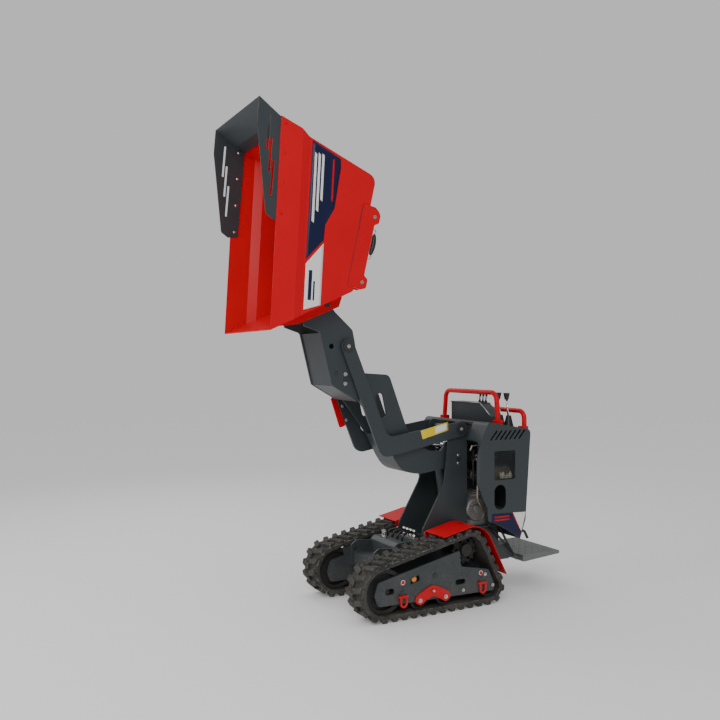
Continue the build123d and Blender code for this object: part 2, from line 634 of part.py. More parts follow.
back = [
    lap_low, lap_high, guard_top, along(guard_top, lap_high, 0, -SHEET),
    along(*rear_wall, 0, -SKIP_SHEET - SHEET), along(*rear_wall, GUARD_LAP, -SKIP_SHEET - SHEET),
]
guard = Part() + [wing, flip(wing), plate(back, -BAND_IN + SHEET, BAND_IN - SHEET)]
save("skip_guard", tipped(guard))
machine_end = tipped(guard).bounding_box().max.X

# Floor brackets with cross pins, under the skip near each side
BRACKET_Y = FLOOR_HALF - 19
BRACKET_OUT = FLOOR_HALF + 12
BRACKET_PIN = 11.0
BRACKET_PINS = chain(FLOOR_REAR, [(245, -40), (645, -42)])
bracket_points = [
    (187, 46), (187, -34), (206, -62), (226, -76), (274, -76), (292, -48),
    (602, -48), (618, -76), (672, -76), (689, -44), (689, 46),
]
bracket_radii = [4, 8, 12, 18, 18, 12, 12, 18, 18, 10, 4]
bracket = plate(chain(FLOOR_REAR, bracket_points), BRACKET_Y - 24, BRACKET_OUT, bracket_radii)
bracket_inside = [(177, -85), (177, -8), (700, -8), (700, -85)]
bracket -= plate(chain(FLOOR_REAR, bracket_inside), BRACKET_Y - 17, BRACKET_OUT - 10)
bracket -= [bar(spot, BRACKET_PIN, BRACKET_Y - 30, BRACKET_OUT + 10) for spot in BRACKET_PINS]
bracket -= skip_outer
save("floor_brackets", tipped(both(bracket)))

# Hinge plates along the front wall and the tilt cylinder's lugs
HINGE_PLATE = 12.0
hinge_points = [
    along(*front_wall, -26, -30), along(*front_wall, 0, 30), along(*front_wall, 40, 72),
    along(*front_wall, 330, 64),
    along(*front_wall, 520, 4), along(*front_wall, 520, -30),
]
hinge_face = outline(hinge_points, [0, 0, 12, 30, 0, 0])
hinge_face = hinge_face - [Circle(PIN_P + PIN_PLAY)]
hinge_plate = spread(hinge_face, ELBOW_IN, ELBOW_IN + HINGE_PLATE) - skip_outer
tilt_level = turned(TILT_EYE, SKIP_TIP)
TILT_HALF = 20.0
TILT_LUG = TILT_HALF + 1.5
tilt_points = [
    *chain(FLOOR_FRONT, [(-100, 20), (-13, 37), (47, 47)]),
    shifted(tilt_level, (22, 0)), shifted(tilt_level, (-22, 0)),
]
tilt_face = outline(tilt_points)
tilt_face = tilt_face + [Pos(*tilt_level) * Circle(23)]
tilt_face = tilt_face - [Pos(*tilt_level) * Circle(PIN_CYL)]
tilt_lug = spread(tilt_face, TILT_LUG, TILT_LUG + PLATE) - skip_outer
save("skip_lugs", tipped(Part() + [hinge_plate, flip(hinge_plate), tilt_lug, flip(tilt_lug)]))
tilt_stub = bar(tilt_level, PIN_CYL, TILT_LUG, TILT_LUG + PLATE + 4)
pins = [bar(spot, BRACKET_PIN, BRACKET_Y - 28, BRACKET_OUT + 3) for spot in BRACKET_PINS] + [tilt_stub]
save("skip_pins", tipped(Part() + pins + [flip(pin) for pin in pins]))

# Hydraulic cylinders, each drawn upright from its base pin and then leant
def leaning(base, eye, shape):
    """A cylinder piece drawn up the z axis, set on its base pin and leant towards the eye."""
    lean = degrees(atan2(eye[0] - base[0], eye[1] - base[1]))
    return Pos(base[0], 0, base[1]) * Rot(0, lean, 0) * shape


def upright(low, high, radius):
    """Round bar up the z axis."""
    return Pos(0, 0, (low + high) / 2) * Cylinder(radius, high - low)


def cylinder(base, eye, closed, radius, rod_radius, eye_radius, half, pin_half):
    """Barrel and rod of a cylinder that is closed when its pins are this far apart."""
    length = toward(base, eye)[1]
    mouth = closed - eye_radius - 6
    barrel = upright(eye_radius - 8, mouth - 14, radius) + bar((0, 0), eye_radius, -half, half)
    barrel += upright(mouth - 14, mouth, radius - 5)
    barrel -= upright(eye_radius + 8, mouth + 1, rod_radius + PIN_PLAY)
    barrel -= bar((0, 0), PIN_CYL + PIN_PLAY, -half, half)
    tail = eye_radius + 14 + length - closed
    ram = upright(tail, length - eye_radius + 8, rod_radius)
    ram += Pos(0, 0, length) * bar((0, 0), eye_radius, -half, half)
    ram += Pos(0, 0, length) * bar((0, 0), PIN_CYL, -pin_half, pin_half)
    return leaning(base, eye, barrel), leaning(base, eye, ram)


lift_closed = toward(LIFT_BASE, shifted(PIVOT_B, turned(LIFT_EYE, -LIFT_TURN)))[1]
lift_barrel, lift_rod = cylinder(LIFT_BASE, LIFT_PIN, lift_closed, 36, 20, 26, 30, ARM_IN - 1.5)
save("lift_barrel", lift_barrel)
save("lift_rod", lift_rod)
tilt_closed = toward(TILT_BASE, shifted(PIVOT_P, turned(TILT_EYE, SKIP_TIP)))[1]
tilt_barrel, tilt_rod = cylinder(TILT_BASE, TILT_PIN, tilt_closed, 27, 15, 24, TILT_HALF, TILT_HALF + 0.5)
save("tilt_barrel", tilt_barrel)
save("tilt_rod", tilt_rod)

# Canopy: a sheet housing with an open front, slots and windows, and a skirt that narrows downwards
CANOPY_X = PIVOT_A[0] - 79
CANOPY_LENGTH = 350.0
CANOPY_RISE = 59.0
CANOPY_REAR = (CANOPY_X - CANOPY_LENGTH, DECK + 645)
CANOPY_FRONT = (CANOPY_X, CANOPY_REAR[1] + CANOPY_RISE)


def canopy_top(x):
    """Height of the canopy's sloping roof at x."""
    return CANOPY_REAR[1] + (x - CANOPY_REAR[0]) / CANOPY_LENGTH * CANOPY_RISE


def on_roof(x0, x1, y0, y1, top):
    """Block that stands on the sloping roof."""
    return plate([(x0, canopy_top(x0)), (x1, canopy_top(x1)), (x1, top), (x0, top)], y0, y1)


BULGE = 83.0
bulge = [(BULGE - 22, 580), (BULGE, 460), (BULGE, 321), (BULGE - 35, 229), (4, 145)]
skirt = [(4, 68), (-65, 45), (-209, -35), (-258, -73), (-278, -20), (-306, 55)]
canopy_points = [CANOPY_REAR, CANOPY_FRONT] + chain((CANOPY_X, DECK), bulge + skirt)
canopy_side = outline(canopy_points, [35, 35, 80, 60, 60, 60, 60, 12, 20, 20, 8, 8, 12])
CANOPY_EDGE = 28.0


def housing(inset):
    """Solid inside the canopy's outer faces set in by inset, with rounded upright front edges."""
    face = offset(canopy_side, -inset) if inset else canopy_side
    half = CANOPY_HALF - inset
    front = CANOPY_X + BULGE - inset
    rear = CANOPY_REAR[0] - CANOPY_EDGE
    plan = [(rear, -half), (front, -half), (front, half), (rear, half)]
    plan = outline(plan, [0, CANOPY_EDGE, CANOPY_EDGE, 0])
    return spread(face, -half, half) & extrude(plan, amount=CANOPY_FRONT[1] + 1)


canopy_body = housing(0)
canopy = canopy_body - housing(CANOPY_SHEET)
underside = [(30, DECK + 95), (-290, DECK + 95), (-264, DECK - 25), (-250, DECK - 100), (30, DECK - 100)]
canopy -= plate([(CANOPY_X + x, z) for x, z in underside], -CANOPY_IN, CANOPY_IN)
OPENING_HALF = CANOPY_HALF - 18
LINTEL = DECK + 580
opening = [(-OPENING_HALF, DECK), (OPENING_HALF, DECK), (OPENING_HALF, LINTEL), (-OPENING_HALF, LINTEL)]
front_plane = Plane(origin=(CANOPY_X - 40, 0, 0), x_dir=(0, 1, 0), z_dir=(1, 0, 0))
canopy -= extrude(front_plane * outline(opening, [0, 0, 40, 40]), amount=BULGE + 80)
TOWER_GAP = PLATE_OUT + 55
canopy -= block(CANOPY_X, CANOPY_X + BULGE, -TOWER_GAP, TOWER_GAP, LINTEL, CANOPY_FRONT[1])
canopy += block(CANOPY_X - CANOPY_SHEET, CANOPY_X, -TOWER_GAP, TOWER_GAP, LINTEL, CANOPY_FRONT[1] - 30)
panel_cuts = []
for number in range(7):
    foot = CANOPY_X - 8 - 38.5 * number
    slot = [(foot, DECK + 585), (foot - 55, DECK + 647), (foot - 72, DECK + 647), (foot - 17, DECK + 585)]
    panel_cuts.append(outline(slot, 5))
window = [(-48, DECK + 327), (-48, DECK + 513), (-219, DECK + 513), (-219, DECK + 327)]
port = [(-48, DECK + 135), (-48, DECK + 295), (-142, DECK + 295), (-142, DECK + 135)]
panel_cuts.append(outline([(CANOPY_X + x, z) for x, z in window], 12))
panel_cuts.append(outline([(CANOPY_X + x, z) for x, z in port], 45))
for cut in panel_cuts:
    canopy -= spread(cut, -CANOPY_HALF - 1, CANOPY_HALF + 1)
save("canopy", canopy)

# What stands on the deck inside: a cross bar that carries the canopy, the engine and its silencer
BAR_FRONT = CANOPY_X - 138
cross_bar = block(BAR_FRONT - 40, BAR_FRONT, -CANOPY_IN, CANOPY_IN, DECK + 107, DECK + 132)
for leg in (-175, 175):
    cross_bar += block(BAR_FRONT - 40, BAR_FRONT, leg - 15, leg + 15, DECK, DECK + 107)
save("canopy_frame", cross_bar)
ENGINE_Y = 120.0
engine = block(CANOPY_X - 255, CANOPY_X - 20, -ENGINE_Y - 25, ENGINE_Y + 25, DECK, DECK + 95)
engine += block(CANOPY_X - 130, CANOPY_X - 70, -ENGINE_Y, ENGINE_Y, DECK + 95, DECK + 140)
engine += block(CANOPY_X - 235, CANOPY_X - 50, -ENGINE_Y, ENGINE_Y, DECK + 140, DECK + 280)
for fin in range(8):
    level = DECK + 280 + 16 * fin
    engine += block(CANOPY_X - 225, CANOPY_X - 60, 10 - ENGINE_Y, ENGINE_Y - 10, level + 9, level + 16)
engine += block(CANOPY_X - 210, CANOPY_X - 75, 25 - ENGINE_Y, ENGINE_Y - 25, DECK + 280, DECK + 408)
shroud = block(CANOPY_X - 240, CANOPY_X - 45, -ENGINE_Y - 15, ENGINE_Y + 15, DECK + 408, DECK + 520)
engine += fillet(shroud.edges(), 22)
fan = Pos(CANOPY_X - 36, 0, DECK + 275) * Rot(0, 90, 0)
engine += fan * Cylinder(118, 28)
engine -= fan * Pos(0, 0, 10) * (Cylinder(100, 12) - Cylinder(34, 12))
save("engine", engine)
SILENCER_Y = CANOPY_IN - 22
silencer = fillet(
    block(CANOPY_X - 210, CANOPY_X - 66, SILENCER_Y - 110, SILENCER_Y, DECK + 318, DECK + 412).edges(), 22
)
silencer += bar((CANOPY_X - 142, DECK + 365), 17, ENGINE_Y - 25, SILENCER_Y - 100)
silencer -= block(CANOPY_X - 260, CANOPY_X, 0, ENGINE_Y - 10, DECK + 280, DECK + 408)
save("silencer", silencer)

# Controls on the roof
roof_block = plate(
    [CANOPY_REAR, CANOPY_FRONT, (CANOPY_X, DECK), (CANOPY_REAR[0], DECK)], -CANOPY_HALF, CANOPY_HALF
)
CONSOLE_FRONT = CANOPY_X - 144
CONSOLE_DEPTH = 88.0
CONSOLE_TOP = CANOPY_FRONT[1] + 101
console_section = [
    (-250, CANOPY_REAR[1]), (-250, CONSOLE_TOP), (82, CONSOLE_TOP), (194, CONSOLE_TOP - 80),
    (194, CANOPY_REAR[1]),
]
console_plane = Plane(origin=(CONSOLE_FRONT - CONSOLE_DEPTH, 0, 0), x_dir=(0, 1, 0), z_dir=(1, 0, 0))
console = extrude(console_plane * outline(console_section, [0, 8, 8, 8, 0]), amount=CONSOLE_DEPTH)
console += block(CONSOLE_FRONT - CONSOLE_DEPTH - 5, CONSOLE_FRONT + 5, -255, 78, CONSOLE_TOP, CONSOLE_TOP + 6)
save("console", console - roof_block)


def lever(foot, top, boot, knob):
    """Lever with a rubber boot at its foot and a tapered knob, each given as its radius and height."""
    gaiter = Pos(foot[0], foot[1], foot[2] + boot[1] / 2) * Cone(boot[0], boot[0] * 0.45, boot[1])
    stick = rod((foot[0], foot[1], foot[2] + boot[1] / 2), top, 5.5)
    handle = Pos(*top) * Cone(knob[0] * 0.6, knob[0], knob[1])
    return gaiter + stick + handle


lever_x = CONSOLE_FRONT - 62
lever_foot = CONSOLE_TOP + 6
levers = [
    lever((lever_x, y, lever_foot), (lever_x - 6, y, lever_foot + 56), (13, 16), (11, 30)) for y in (-2, 32, 66)
]
drive_x = CANOPY_X - 264
for y in (151, 238):
    foot = (drive_x, y, canopy_top(drive_x) - 12)
    levers.append(lever(foot, (drive_x + 6, y - 14, canopy_top(drive_x) + 200), (36, 84), (22, 44)))
save("levers", Part() + [piece - roof_block for piece in levers])
HANDLE_X = CANOPY_X - 122
HANDLE_Y = CANOPY_HALF - 58
HANDLE_TOP = CANOPY_FRONT[1] + 184
PAD_TOP = CANOPY_FRONT[1] + 6
pad = on_roof(HANDLE_X - 24, HANDLE_X + 24, HANDLE_Y - 24, HANDLE_Y + 24, PAD_TOP)
handle_path = [
    (HANDLE_X, -HANDLE_Y, PAD_TOP), (HANDLE_X, 18 - HANDLE_Y, HANDLE_TOP),
    (HANDLE_X, HANDLE_Y - 18, HANDLE_TOP), (HANDLE_X, HANDLE_Y, PAD_TOP),
]
handle = tube(handle_path, HANDLE_R, 55) - pad - flip(pad)
handle -= roof_block
save("front_handle", Part() + [handle, pad, flip(pad)])
REAR_X = CANOPY_REAR[0] + 28
REAR_Y = CANOPY_HALF - 32
REAR_TOP = CANOPY_REAR[1] + 118
rear_pad_top = canopy_top(REAR_X + 34) + 10
rear_pad = on_roof(REAR_X - 14, REAR_X + 34, REAR_Y - 24, REAR_Y + 24, rear_pad_top)
rear_path = [
    (REAR_X, -REAR_Y, rear_pad_top), (REAR_X, -REAR_Y, REAR_TOP), (REAR_X, REAR_Y, REAR_TOP),
    (REAR_X, REAR_Y, rear_pad_top),
]
save("rear_bar", Part() + [tube(rear_path, HANDLE_R, 50), rear_pad, flip(rear_pad)])

# Rope hooks on the skirt and the folding step
hook_root = CANOPY_X - 265
hook_path = [(hook_root, 300, DECK - 38), (hook_root - 80, 300, DECK - 36), (hook_root - 108, 300, DECK - 88)]
hook = tube(hook_path, 9, 24) - canopy_body
save("rope_hooks", both(hook))
HINGE = (TAIL_REAR - 45, STEP_TOP - 8)
STEP_PIN = 7.0
STEP_LIP = 45.0
step_front = HINGE[0] - 12
step_rear = -machine_end
step_side = outline(
    [(step_rear, STEP_TOP), (step_front, STEP_TOP), (step_front, STEP_TOP - STEP_LIP),
     (step_rear, STEP_TOP - STEP_LIP / 2)],
    [6, 0, 8, 6],
)
step = spread(step_side, -STEP_HALF, STEP_HALF)
step -= spread(
    outline([
        (step_rear + SHEET, STEP_TOP - SHEET), (step_front - SHEET, STEP_TOP - SHEET),
        (step_front - SHEET, STEP_TOP - STEP_LIP - SHEET), (step_rear + SHEET, STEP_TOP - STEP_LIP - SHEET),
    ]),
    SHEET - STEP_HALF, STEP_HALF - SHEET,
)
step_arm_points = chain(HINGE, [(-12, -36), (-12, 7), (0, 7), (9, 0), (0, -12)])
step_arm = plate(step_arm_points, PLATE_OUT + 2, PLATE_OUT + 2 + PLATE)
step_arm -= bar(HINGE, STEP_PIN + PIN_PLAY, PLATE_OUT, PLATE_OUT + 20)
save("step", Part() + [step, step_arm, flip(step_arm)])
step_bracket = plate(
    [(TAIL_REAR, STEP_TOP - 25), (TAIL_REAR, STEP_TOP + 30), (TAIL_REAR - 30, STEP_TOP + 5),
     *chain(HINGE, [(-9, 7), (-9, -8)])],
    PLATE_IN, PLATE_OUT,
)
step_pin = bar(HINGE, STEP_PIN, PLATE_IN - 4, PLATE_OUT + PLATE + 6)
save("step_brackets", both(step_bracket + step_pin))
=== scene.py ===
# %% [markdown]
# # A tracked high-tip dumper, dressed for the camera
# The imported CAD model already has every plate, pin and belt at its real size.
# This lesson loads it as a fixed frame, gives each piece the finish it has in the photograph,
# and adds what a workshop adds last: bolts, vinyl, mesh, pipes, ribs and wear.
# Lengths are metres; +X is forward, +Y the machine's left and +Z up.

# %% Load the frame
import bmesh
import bpy
import numpy as np
from math import atan2, cos, hypot, pi, radians, sin
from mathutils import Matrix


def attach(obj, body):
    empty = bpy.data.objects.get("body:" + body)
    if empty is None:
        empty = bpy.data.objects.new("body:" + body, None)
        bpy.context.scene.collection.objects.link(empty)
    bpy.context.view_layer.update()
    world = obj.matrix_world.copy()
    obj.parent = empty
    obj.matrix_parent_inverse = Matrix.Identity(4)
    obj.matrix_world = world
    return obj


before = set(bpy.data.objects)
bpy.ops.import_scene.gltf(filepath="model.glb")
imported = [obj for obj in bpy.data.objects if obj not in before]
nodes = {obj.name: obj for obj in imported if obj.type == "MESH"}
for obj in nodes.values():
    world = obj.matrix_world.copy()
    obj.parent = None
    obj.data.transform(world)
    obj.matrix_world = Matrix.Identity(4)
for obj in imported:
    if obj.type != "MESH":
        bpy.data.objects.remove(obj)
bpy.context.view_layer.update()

# %% [markdown]
# ## The camera
# The photograph was taken from the left front at eye height, with the horizon across the picture's middle.
# A camera can be placed by eye, but then it sits a little off.
# Here the point where the tracks' parallel edges meet in the picture gives the turn,
# and the horizon gives the tilt.

# %% Camera
CAMERA_SPOT = (2.744, 4.423, 1.545)
CAMERA_TILT, CAMERA_TURN = radians(90.12), radians(61.18) + pi / 2
SENSOR_MM, LENS_MM = 36.0, 39.7
camera = bpy.data.objects.new("camera", bpy.data.cameras.new("camera"))
camera.location = CAMERA_SPOT
camera.rotation_euler = (CAMERA_TILT, 0, CAMERA_TURN)
camera.data.sensor_width, camera.data.lens = SENSOR_MM, LENS_MM
bpy.context.collection.objects.link(camera)
bpy.context.scene.camera = camera
print("camera stands", round(hypot(*CAMERA_SPOT[:2]), 2), "m from the machine's middle")

# %% [markdown]
# ## The studio dome
# A product studio has pale walls that are brighter above, so tops of plates catch more light than undersides.
# A plain grey world would light all sides alike and flatten the folds in the sheet steel.
# A gradient over height is enough here, and the camera itself sees one even tone that meets the floor's.

# %% Studio dome
BACKDROP = 0.625
DOME_GRADIENT = {"From Min": 0.05, "From Max": 0.9, "To Min": 0.17, "To Max": 0.80}
world = bpy.data.worlds.new("studio")
world.use_nodes = True
bpy.context.scene.world = world
sky = world.node_tree
dome = sky.nodes["Background"]
dome.inputs["Color"].default_value = (1, 1, 1, 1)
place = sky.nodes.new("ShaderNodeTexCoord")
split = sky.nodes.new("ShaderNodeSeparateXYZ")
glow = sky.nodes.new("ShaderNodeMapRange")
seen = sky.nodes.new("ShaderNodeLightPath")
pick = sky.nodes.new("ShaderNodeMix")
for socket, value in DOME_GRADIENT.items():
    glow.inputs[socket].default_value = value
pick.inputs["B"].default_value = BACKDROP
sky.links.new(place.outputs["Generated"], split.inputs[0])
sky.links.new(split.outputs["Z"], glow.inputs["Value"])
sky.links.new(seen.outputs["Is Camera Ray"], pick.inputs["Factor"])
sky.links.new(glow.outputs["Result"], pick.inputs["A"])
sky.links.new(pick.outputs["Result"], dome.inputs["Strength"])
print("dome strength from", DOME_GRADIENT["To Min"], "to", DOME_GRADIENT["To Max"])

# %% [markdown]
# ## Soft boxes
# Large square lamps give the broad gentle highlights of a studio picture; a small one would burn white spots
# into the red enamel. The key stands beside the camera, one lamp lights the skip's mouth
# and one draws the far edges.

# %% Soft boxes
def soft_box(name, spot, aim, size, power):
    """Square area light at spot: its tilt and turn are the angles of the line from spot to aim."""
    light = bpy.data.lights.new(name, "AREA")
    light.size, light.energy = size, power
    lamp = bpy.data.objects.new(name, light)
    lamp.location = spot
    way = np.array(aim) - np.array(spot)
    lamp.rotation_euler = (atan2(hypot(way[0], way[1]), -way[2]), 0, atan2(way[1], way[0]) - pi / 2)
    bpy.context.collection.objects.link(lamp)
    print("soft box", name, "of", power, "W,", round(float(np.linalg.norm(way)), 1), "m away")


soft_box("key", (3.6, 5.2, 4.2), aim=(0.1, 0, 1.3), size=2.4, power=145)
soft_box("front", (4.6, -0.6, 3.4), aim=(0.4, 0, 1.6), size=2.4, power=60)
soft_box("rim", (0.5, -4.0, 4.0), aim=(0, 0, 1.4), size=3.0, power=40)


# %% [markdown]
# ## From arrays to a mesh
# Every new piece is a grid of points: one parameter runs along rows, the other along columns.
# Blender's own primitives would need moving and joining one by one.
# With arrays the quads between neighbours are index arithmetic, so no loop walks over vertices,
# and points that meet in a pole are merged afterwards in one step.

# %% Mesh pieces
MERGE = 1e-6
print("points nearer than", MERGE, "m become one")


def mesh_piece(name, points, faces, material, body=None, slot=None, smooth=True):
    """Put arrays of points and faces into a mesh, merge its poles, add a finish and ride on a CAD body."""
    points, faces = np.asarray(points, float).reshape(-1, 3), np.asarray(faces, int)
    mesh = bpy.data.meshes.new(name)
    mesh.vertices.add(len(points))
    mesh.vertices.foreach_set("co", points.ravel())
    mesh.loops.add(faces.size)
    mesh.loops.foreach_set("vertex_index", faces.ravel())
    mesh.polygons.add(len(faces))
    mesh.polygons.foreach_set("loop_start", np.arange(len(faces)) * faces.shape[1])
    mesh.polygons.foreach_set("use_smooth", np.full(len(faces), smooth))
    mesh.update(calc_edges=True)
    shell = bmesh.new()
    shell.from_mesh(mesh)
    bmesh.ops.remove_doubles(shell, verts=shell.verts, dist=MERGE)
    shell.to_mesh(mesh)
    shell.free()
    mesh.materials.append(material)
    piece = bpy.data.objects.new(name, mesh)
    bpy.context.collection.objects.link(piece)
    if body:
        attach(piece, body)
    print(name, "has", len(mesh.polygons), "faces on the", body or "stage")
    return piece


# %% [markdown]
# ## Grids of quads
# Bolts, wires and pipes come in sets of equal grids, which could be one object each.
# One mesh for a whole set keeps the list of objects short, so the vertex numbers of each grid are shifted
# by the points that came before.

# %% Grids
def quads(rows, columns, wrap):
    """Vertex numbers of the quads of a rows by columns grid; wrap joins the last column to the first."""
    r, c = np.meshgrid(np.arange(rows - 1), np.arange(columns if wrap else columns - 1), indexing="ij")
    after = (c + 1) % columns
    corners = [r * columns + c, r * columns + after, (r + 1) * columns + after, (r + 1) * columns + c]
    return np.stack(corners, -1).reshape(-1, 4)


def grids_piece(name, grids, wrap, material, body, slot, smooth=True):
    """One mesh from a stack of like grids, an array of shape (count, rows, columns, 3)."""
    count, rows, columns, _ = np.shape(grids)
    faces = quads(rows, columns, wrap)[None] + (np.arange(count) * rows * columns)[:, None, None]
    return mesh_piece(name, grids, faces.reshape(-1, 4), material, body, slot, smooth)


print("a 3 by 4 grid has", len(quads(3, 4, False)), "quads, and", len(quads(3, 4, True)), "when it closes")


# %% [markdown]
# ## Helpers for shader nodes
# Nodes can be linked by hand in the editor; in a script each link is a line of its own and hides the idea.
# These helpers make a node, set or link its inputs, and return the socket that the next one needs.

# %% Node helpers
def node_group(name, inputs, outputs):
    """New shader node group with float inputs (name, value) and outputs (name, socket type)."""
    group = bpy.data.node_groups.new(name, "ShaderNodeTree")
    for label, value in inputs:
        socket = group.interface.new_socket(label, in_out="INPUT", socket_type="NodeSocketFloat")
        socket.default_value = value
    for label, kind in outputs:
        group.interface.new_socket(label, in_out="OUTPUT", socket_type=kind)
    given, result = group.nodes.new("NodeGroupInput"), group.nodes.new("NodeGroupOutput")
    print("node group", name, "takes", [label for label, _ in inputs])
    return group, given.outputs, result.inputs


def add_node(tree, kind, feeds=(), **settings):
    """New node with its settings assigned and its inputs linked or set from (socket, source) pairs."""
    node = tree.nodes.new("ShaderNode" + kind)
    for label, value in settings.items():
        setattr(node, label, value)
    for socket, source in feeds:
        if isinstance(source, bpy.types.NodeSocket):
            tree.links.new(source, node.inputs[socket])
        else:
            node.inputs[socket].default_value = source
    return node


def noise_at(tree, scale, detail):
    """Noise over object coordinates."""
    place = add_node(tree, "TexCoord").outputs["Object"]
    feeds = [("Vector", place), ("Scale", scale), ("Detail", detail)]
    return add_node(tree, "TexNoise", feeds).outputs["Fac"]


def height_of(tree):
    """Height of the shaded point in object coordinates, which is its height above the ground at rest."""
    place = add_node(tree, "TexCoord").outputs["Object"]
    return add_node(tree, "SeparateXYZ", [(0, place)]).outputs["Z"]


def times(tree, a, b):
    """Product of two values."""
    return add_node(tree, "Math", [(0, a), (1, b)], operation="MULTIPLY").outputs[0]


def between(tree, value, low, high):
    """0 at low and 1 at high, clamped."""
    feeds = [("Value", value), ("From Min", low), ("From Max", high)]
    return add_node(tree, "MapRange", feeds).outputs["Result"]


# %% [markdown]
# ## Three shared effects
# Paint, iron and rubber share three things: edges that catch the light, dust that settles low,
# and fine grain.
# They could be painted into each material, but then a change would have to be made a dozen times.
# As node groups with named sockets they are built once, and a material only says how much of each there is.

# %% Worn edges
def make_edges_group():
    """Rounded edges: a bevelled normal, and a mask of where it leaves the true normal, broken up by noise."""
    outputs = [("Normal", "NodeSocketVector"), ("Edge", "NodeSocketFloat")]
    group, given, result = node_group("worn_edges", [("Radius", 0.003), ("Wear", 0.5)], outputs)
    bevel = add_node(group, "Bevel", [("Radius", given["Radius"])], samples=4).outputs["Normal"]
    flat = add_node(group, "NewGeometry").outputs["Normal"]
    agree = add_node(group, "VectorMath", [(0, bevel), (1, flat)], operation="DOT_PRODUCT").outputs["Value"]
    sharp = between(group, agree, 0.985, 0.80)
    chips = between(group, noise_at(group, 38.0, 5.0), 0.48, 0.62)
    group.links.new(bevel, result["Normal"])
    group.links.new(times(group, times(group, sharp, chips), given["Wear"]), result["Edge"])
    return group


EDGES = make_edges_group()


# %% Dust and grain
def make_dust_group():
    """Settled dust: noise at two scales, thick at the ground and gone above a height."""
    group, given, result = node_group("settled_dust", [("Top", 0.5), ("Amount", 0.5)],
                                      [("Dust", "NodeSocketFloat")])
    low = between(group, height_of(group), given["Top"], 0.0)
    patches = times(group, noise_at(group, 7.0, 4.0), noise_at(group, 90.0, 3.0))
    masked = times(group, low, between(group, patches, 0.15, 0.36))
    group.links.new(times(group, masked, given["Amount"]), result["Dust"])
    return group


def make_grain_group():
    """Fine grain: one noise for bump height and a slower one for patches of tone."""
    outputs = [("Height", "NodeSocketFloat"), ("Tone", "NodeSocketFloat")]
    group, given, result = node_group("fine_grain", [("Scale", 400.0), ("Patch", 5.0)], outputs)
    group.links.new(noise_at(group, given["Scale"], 2.0), result["Height"])
    group.links.new(noise_at(group, given["Patch"], 6.0), result["Tone"])
    return group


DUST, GRAIN = make_dust_group(), make_grain_group()


# %% [markdown]
# ## One maker for every finish
# A machine's finishes differ in colour, gloss and wear but are layered alike: base, worn edges, dust.
# Separate materials could each be drawn as a node tree; one function says the layering once.
# The Principled shader stays in the material, and the groups only feed its colour, roughness and normal.

# %% Finish maker
GLOSS_SPREAD, DUST_ROUGHNESS, BUMP_DEPTH = 0.06, 0.45, 0.002


def placed(tree, group, values):
    """Outputs of a group put into a material with its own input values."""
    node = add_node(tree, "Group", node_tree=group)
    for label, value in values.items():
        node.inputs[label].default_value = value
    return node.outputs


def coat_over(tree, below, mask, colour):
    """A colour mixed over what lies below, as far as the mask says."""
    mix = add_node(tree, "Mix", data_type="RGBA")
    tree.links.new(mask, mix.inputs["Factor"])
    tree.links.new(below, mix.inputs["A"])
    mix.inputs["B"].default_value = (*colour, 1)
    return mix.outputs["Result"]


def finish(name, colour, roughness, metallic=0.0, worn=(0.3, 0.3, 0.3), wear=0.0, dust=0.0, dust_top=0.6,
           dust_colour=(0.20, 0.175, 0.14), grain=500.0, bump=0.04, tone=0.18, specular=0.5, radius=0.003):
    """Material of one colour with tone patches, worn edges, low dust, grain bump and a share of specular."""
    material = bpy.data.materials.new(name)
    material.use_nodes = True
    tree = material.node_tree
    shader = tree.nodes["Principled BSDF"]
    edges = placed(tree, EDGES, {"Radius": radius, "Wear": wear})
    dirt = placed(tree, DUST, {"Top": dust_top, "Amount": dust})["Dust"]
    fine = placed(tree, GRAIN, {"Scale": grain})
    shade = add_node(tree, "MapRange", [("Value", fine["Tone"]), ("To Min", 1 - tone), ("To Max", 1 + tone)])
    base = add_node(tree, "VectorMath", [(0, colour), ("Scale", shade.outputs["Result"])], operation="SCALE")
    rubbed = coat_over(tree, base.outputs["Vector"], edges["Edge"], worn)
    gloss = [("Value", fine["Tone"]), ("To Min", roughness - GLOSS_SPREAD),
             ("To Max", roughness + GLOSS_SPREAD)]
    rough = add_node(tree, "MapRange", gloss).outputs["Result"]
    matt = add_node(tree, "Math", [(0, dirt), (1, DUST_ROUGHNESS), (2, rough)], operation="MULTIPLY_ADD")
    relief = add_node(tree, "Bump", [("Strength", bump), ("Distance", BUMP_DEPTH), ("Height", fine["Height"]),
                                     ("Normal", edges["Normal"])])
    tree.links.new(coat_over(tree, rubbed, dirt, dust_colour), shader.inputs["Base Color"])
    tree.links.new(matt.outputs[0], shader.inputs["Roughness"])
    tree.links.new(relief.outputs["Normal"], shader.inputs["Normal"])
    shader.inputs["Metallic"].default_value = metallic
    shader.inputs["Specular IOR Level"].default_value = specular
    print("finish", name)
    return material


# %% [markdown]
# ## Paint and rubber
# Bright red enamel covers the skip, fenders and handles, and anthracite powder coat the welded steel.
# Powder coat has a fine orange peel that enamel lacks, so it gets more bump and less gloss.
# The belts are dusty rubber whose lugs are rubbed pale at their edges.

